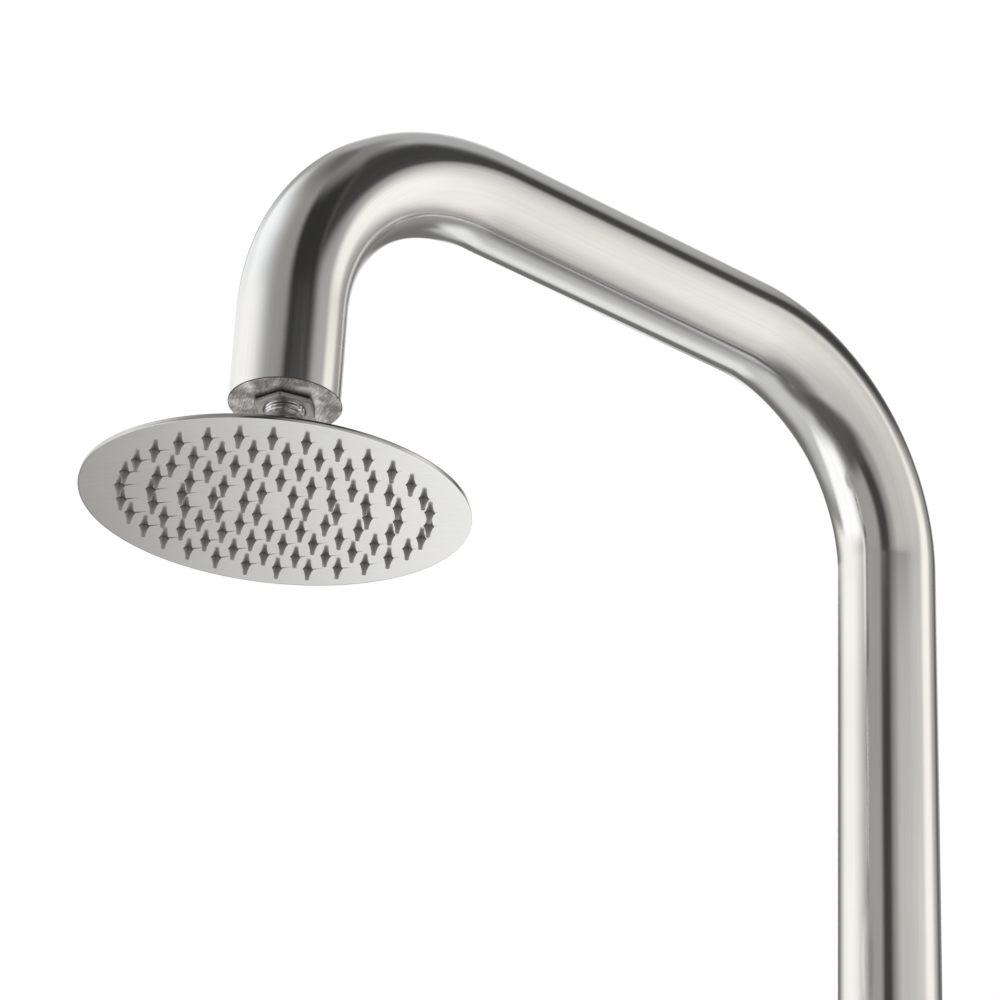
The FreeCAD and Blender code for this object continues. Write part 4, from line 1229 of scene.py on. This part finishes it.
@dataclass
class Studio:
    """Soft lights round the post, a pale floor and the camera."""

    boxes: Sequence[SoftBox] = (
        SoftBox("ceiling", 0, 90, ALL_ROUND, ALL_ROUND, (14, 28), (10, 20), 0.26, CREAM),
        SoftBox("ceiling_front", -20, 90, (60, 110), (50, 90), (8, 18), (10, 20), 0.16, CREAM),
        SoftBox("ceiling_rear", -165, 64, (50, 70), (60, 80), (6, 16), (10, 22), 0.48),
        SoftBox("ground", 0, -90, ALL_ROUND, ALL_ROUND, (8, 16), (28, 44), 0.17, CREAM),
        SoftBox("low_left", -100, -47, (30, 70), (60, 100), (16, 34), (4, 28), 0.67),
        SoftBox("right_wall", 112, -10, (34, 50), (46, 66), (38, 66), (20, 52), 0.63, CREAM),
        SoftBox("right_fill", 102, 16, (26, 44), (18, 42), (14, 30), (8, 12), 0.62, CREAM),
        SoftBox("right_glow", 146, -6, (8, 60), (6, 36), (16, 56), (4, 42), 1.06, WARM),
        SoftBox("right_edge", 146, 20, (6, 20), (6, 20), (10, 26), (8, 14), 1.15, WARM),
        SoftBox("front_gap", 16, -12, (4, 20), (14, 24), (24, 48), (30, 44), 0.41, CREAM),
        SoftBox("front_ground", 38, -56, (16, 44), (18, 36), (20, 40), (24, 40), 0.11, CREAM),
        SoftBox("dark_strip", 42.5, 4, (5, 15), (5, 18), (20, 50), (21, 25), 0.055, CREAM),
        SoftBox("dark_flag", 82, 46, (30, 46), (8, 30), (18.2, 20.5), (10, 32), 0.035, CREAM),
        SoftBox("high_flag", 122, 52, (20, 30), (12, 34), (14, 20), (12, 28), 0.055, CREAM),
        SoftBox("rear_flag", 165, 42, (38, 52), (16, 26), (3, 9), (4, 9), 0.06, CREAM),
        SoftBox("rear_edge", -171, 24, (2, 14), (2, 9), (8, 20), (18, 26), 0.12, CREAM),
        SoftBox("left_dim", -124, 2, (26, 50), (24, 58), (14, 32), (22, 25), 0.19, CREAM),
        SoftBox("side_glow", -140, -24, (5, 14), (6, 14), (8, 17), (10, 22), 0.60),
        SoftBox("under_glow", -140, -27, (10, 26), (12, 23), (5, 18), (6, 13), 0.94),
        SoftBox("upper_panel", -66, 42, (4, 32), (14, 88), (14, 17), (10, 30), 1.15, COOL),
        SoftBox("panel_corner", -84, 34, (14, 26), (12, 30), (6, 9), (2, 16), 1.0, COOL),
        SoftBox("post_panel", -50, 21, (10, 44), (8, 58), (5, 14), (5, 16), 1.12, CREAM),
        SoftBox("key_halo", -54, -26, (8, 40), (10, 20), (18, 34), (14, 32), 0.62),
        SoftBox("key_panel", -30, -12, (18, 30), (12, 36), (24, 52), (22, 32), 1.25),
        SoftBox("backdrop_low", -115, 18, (8, 14), (8, 15), (8, 15), (8, 16), 1.25),
        SoftBox("backdrop", -138, 42, (10, 30), (20, 28), (14, 24), (8, 24), 1.25),
    )
    dim: Colour = (0.35, 0.345, 0.33)
    seen: Colour = (1.0, 1.0, 1.0)
    floor_half: float = 40.0
    camera_at: Point = (1.26669, -1.30476, 1.24949)
    yaw: float = 38.426
    pitch: float = 26.856
    roll: float = 2.972
    lens: float = 119.632
    film: float = 36.0

    def light(self) -> None:
        """Write the studio's lights into the world."""
        world = bpy.data.worlds.new("studio")
        bpy.context.scene.world = world
        world.use_nodes = True
        shader = Shader(world.node_tree)
        x, y, z = shader.axes(shader.value("ShaderNodeTexCoord", {}, {}, "Generated"))
        degrees = 180.0 / math.pi
        azimuth = shader.math("ARCTAN2", x, y * -1.0) * degrees
        height = shader.math("ARCSINE", z) * degrees
        colour: Tone = self.dim
        for box in self.boxes:
            colour = box.over(shader, azimuth, height, colour)
        direct = shader.value("ShaderNodeLightPath", {}, {}, "Is Camera Ray")
        glow = shader.value("ShaderNodeBackground", {},
                            {"Color": shader.blend(direct, colour, self.seen)})
        shader.node("ShaderNodeOutputWorld", {}, {"Surface": glow})
        log.info("studio: %d soft boxes", len(self.boxes))

    def lay_floor(self) -> None:
        """Lay the pale floor under the post, seen but not mirrored in the metal."""
        mesh = bmesh.new()
        corners = [mesh.verts.new((x * self.floor_half, y * self.floor_half, 0.0))
                   for x, y in ((-1, -1), (1, -1), (1, 1), (-1, 1))]
        mesh.faces.new(corners)
        floor = placed("floor", mesh)
        floor.data.materials.append(PaleFloor("pale_floor", (0.86, 0.86, 0.85), (0.84, 0.84, 0.83),
                                              0.7, 40.0, 0.00001).material())
        floor.visible_glossy = floor.visible_diffuse = floor.visible_shadow = False

    def aim(self) -> None:
        """Set the camera at the photograph's place and angle."""
        yaw, pitch, roll = (math.radians(angle) for angle in (self.yaw, self.pitch, self.roll))
        forward = spoke(math.pi - yaw, math.cos(pitch), math.sin(pitch))
        level = Vector((math.sin(yaw), math.cos(yaw), 0.0))
        rise = level.cross(forward)
        right = level * math.cos(roll) + rise * math.sin(roll)
        upward = rise * math.cos(roll) - level * math.sin(roll)
        data = bpy.data.cameras.new("camera")
        data.lens, data.sensor_width, data.sensor_fit = self.lens, self.film, "HORIZONTAL"
        camera = bpy.data.objects.new("camera", data)
        bpy.context.scene.collection.objects.link(camera)
        turn = Matrix((right, upward, -forward)).transposed().to_4x4()
        camera.matrix_world = Matrix.Translation(self.camera_at) @ turn
        bpy.context.scene.camera = camera

    def build(self) -> None:
        """Light the scene, lay the floor and aim the camera."""
        bpy.context.scene.view_settings.view_transform = "Standard"
        self.light()
        self.lay_floor()
        self.aim()


# ---- main


def main() -> None:
    """Build and dress every sub-assembly."""
    logging.basicConfig(level=logging.INFO, format="%(name)s: %(message)s")
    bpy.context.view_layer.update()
    for node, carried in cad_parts.items():
        dress(node, SlotFinish[carried.material_slots[0].material.name.split(".")[0]].value)
    for assembly in (Studio(), Gooseneck(Route()), SprayHead(), NeckFittings(), Foot(), Inlets(),
                     Mixer()):
        assembly.build()
        log.info("%s done", type(assembly).__name__)


if __name__ == "__main__":
    main()
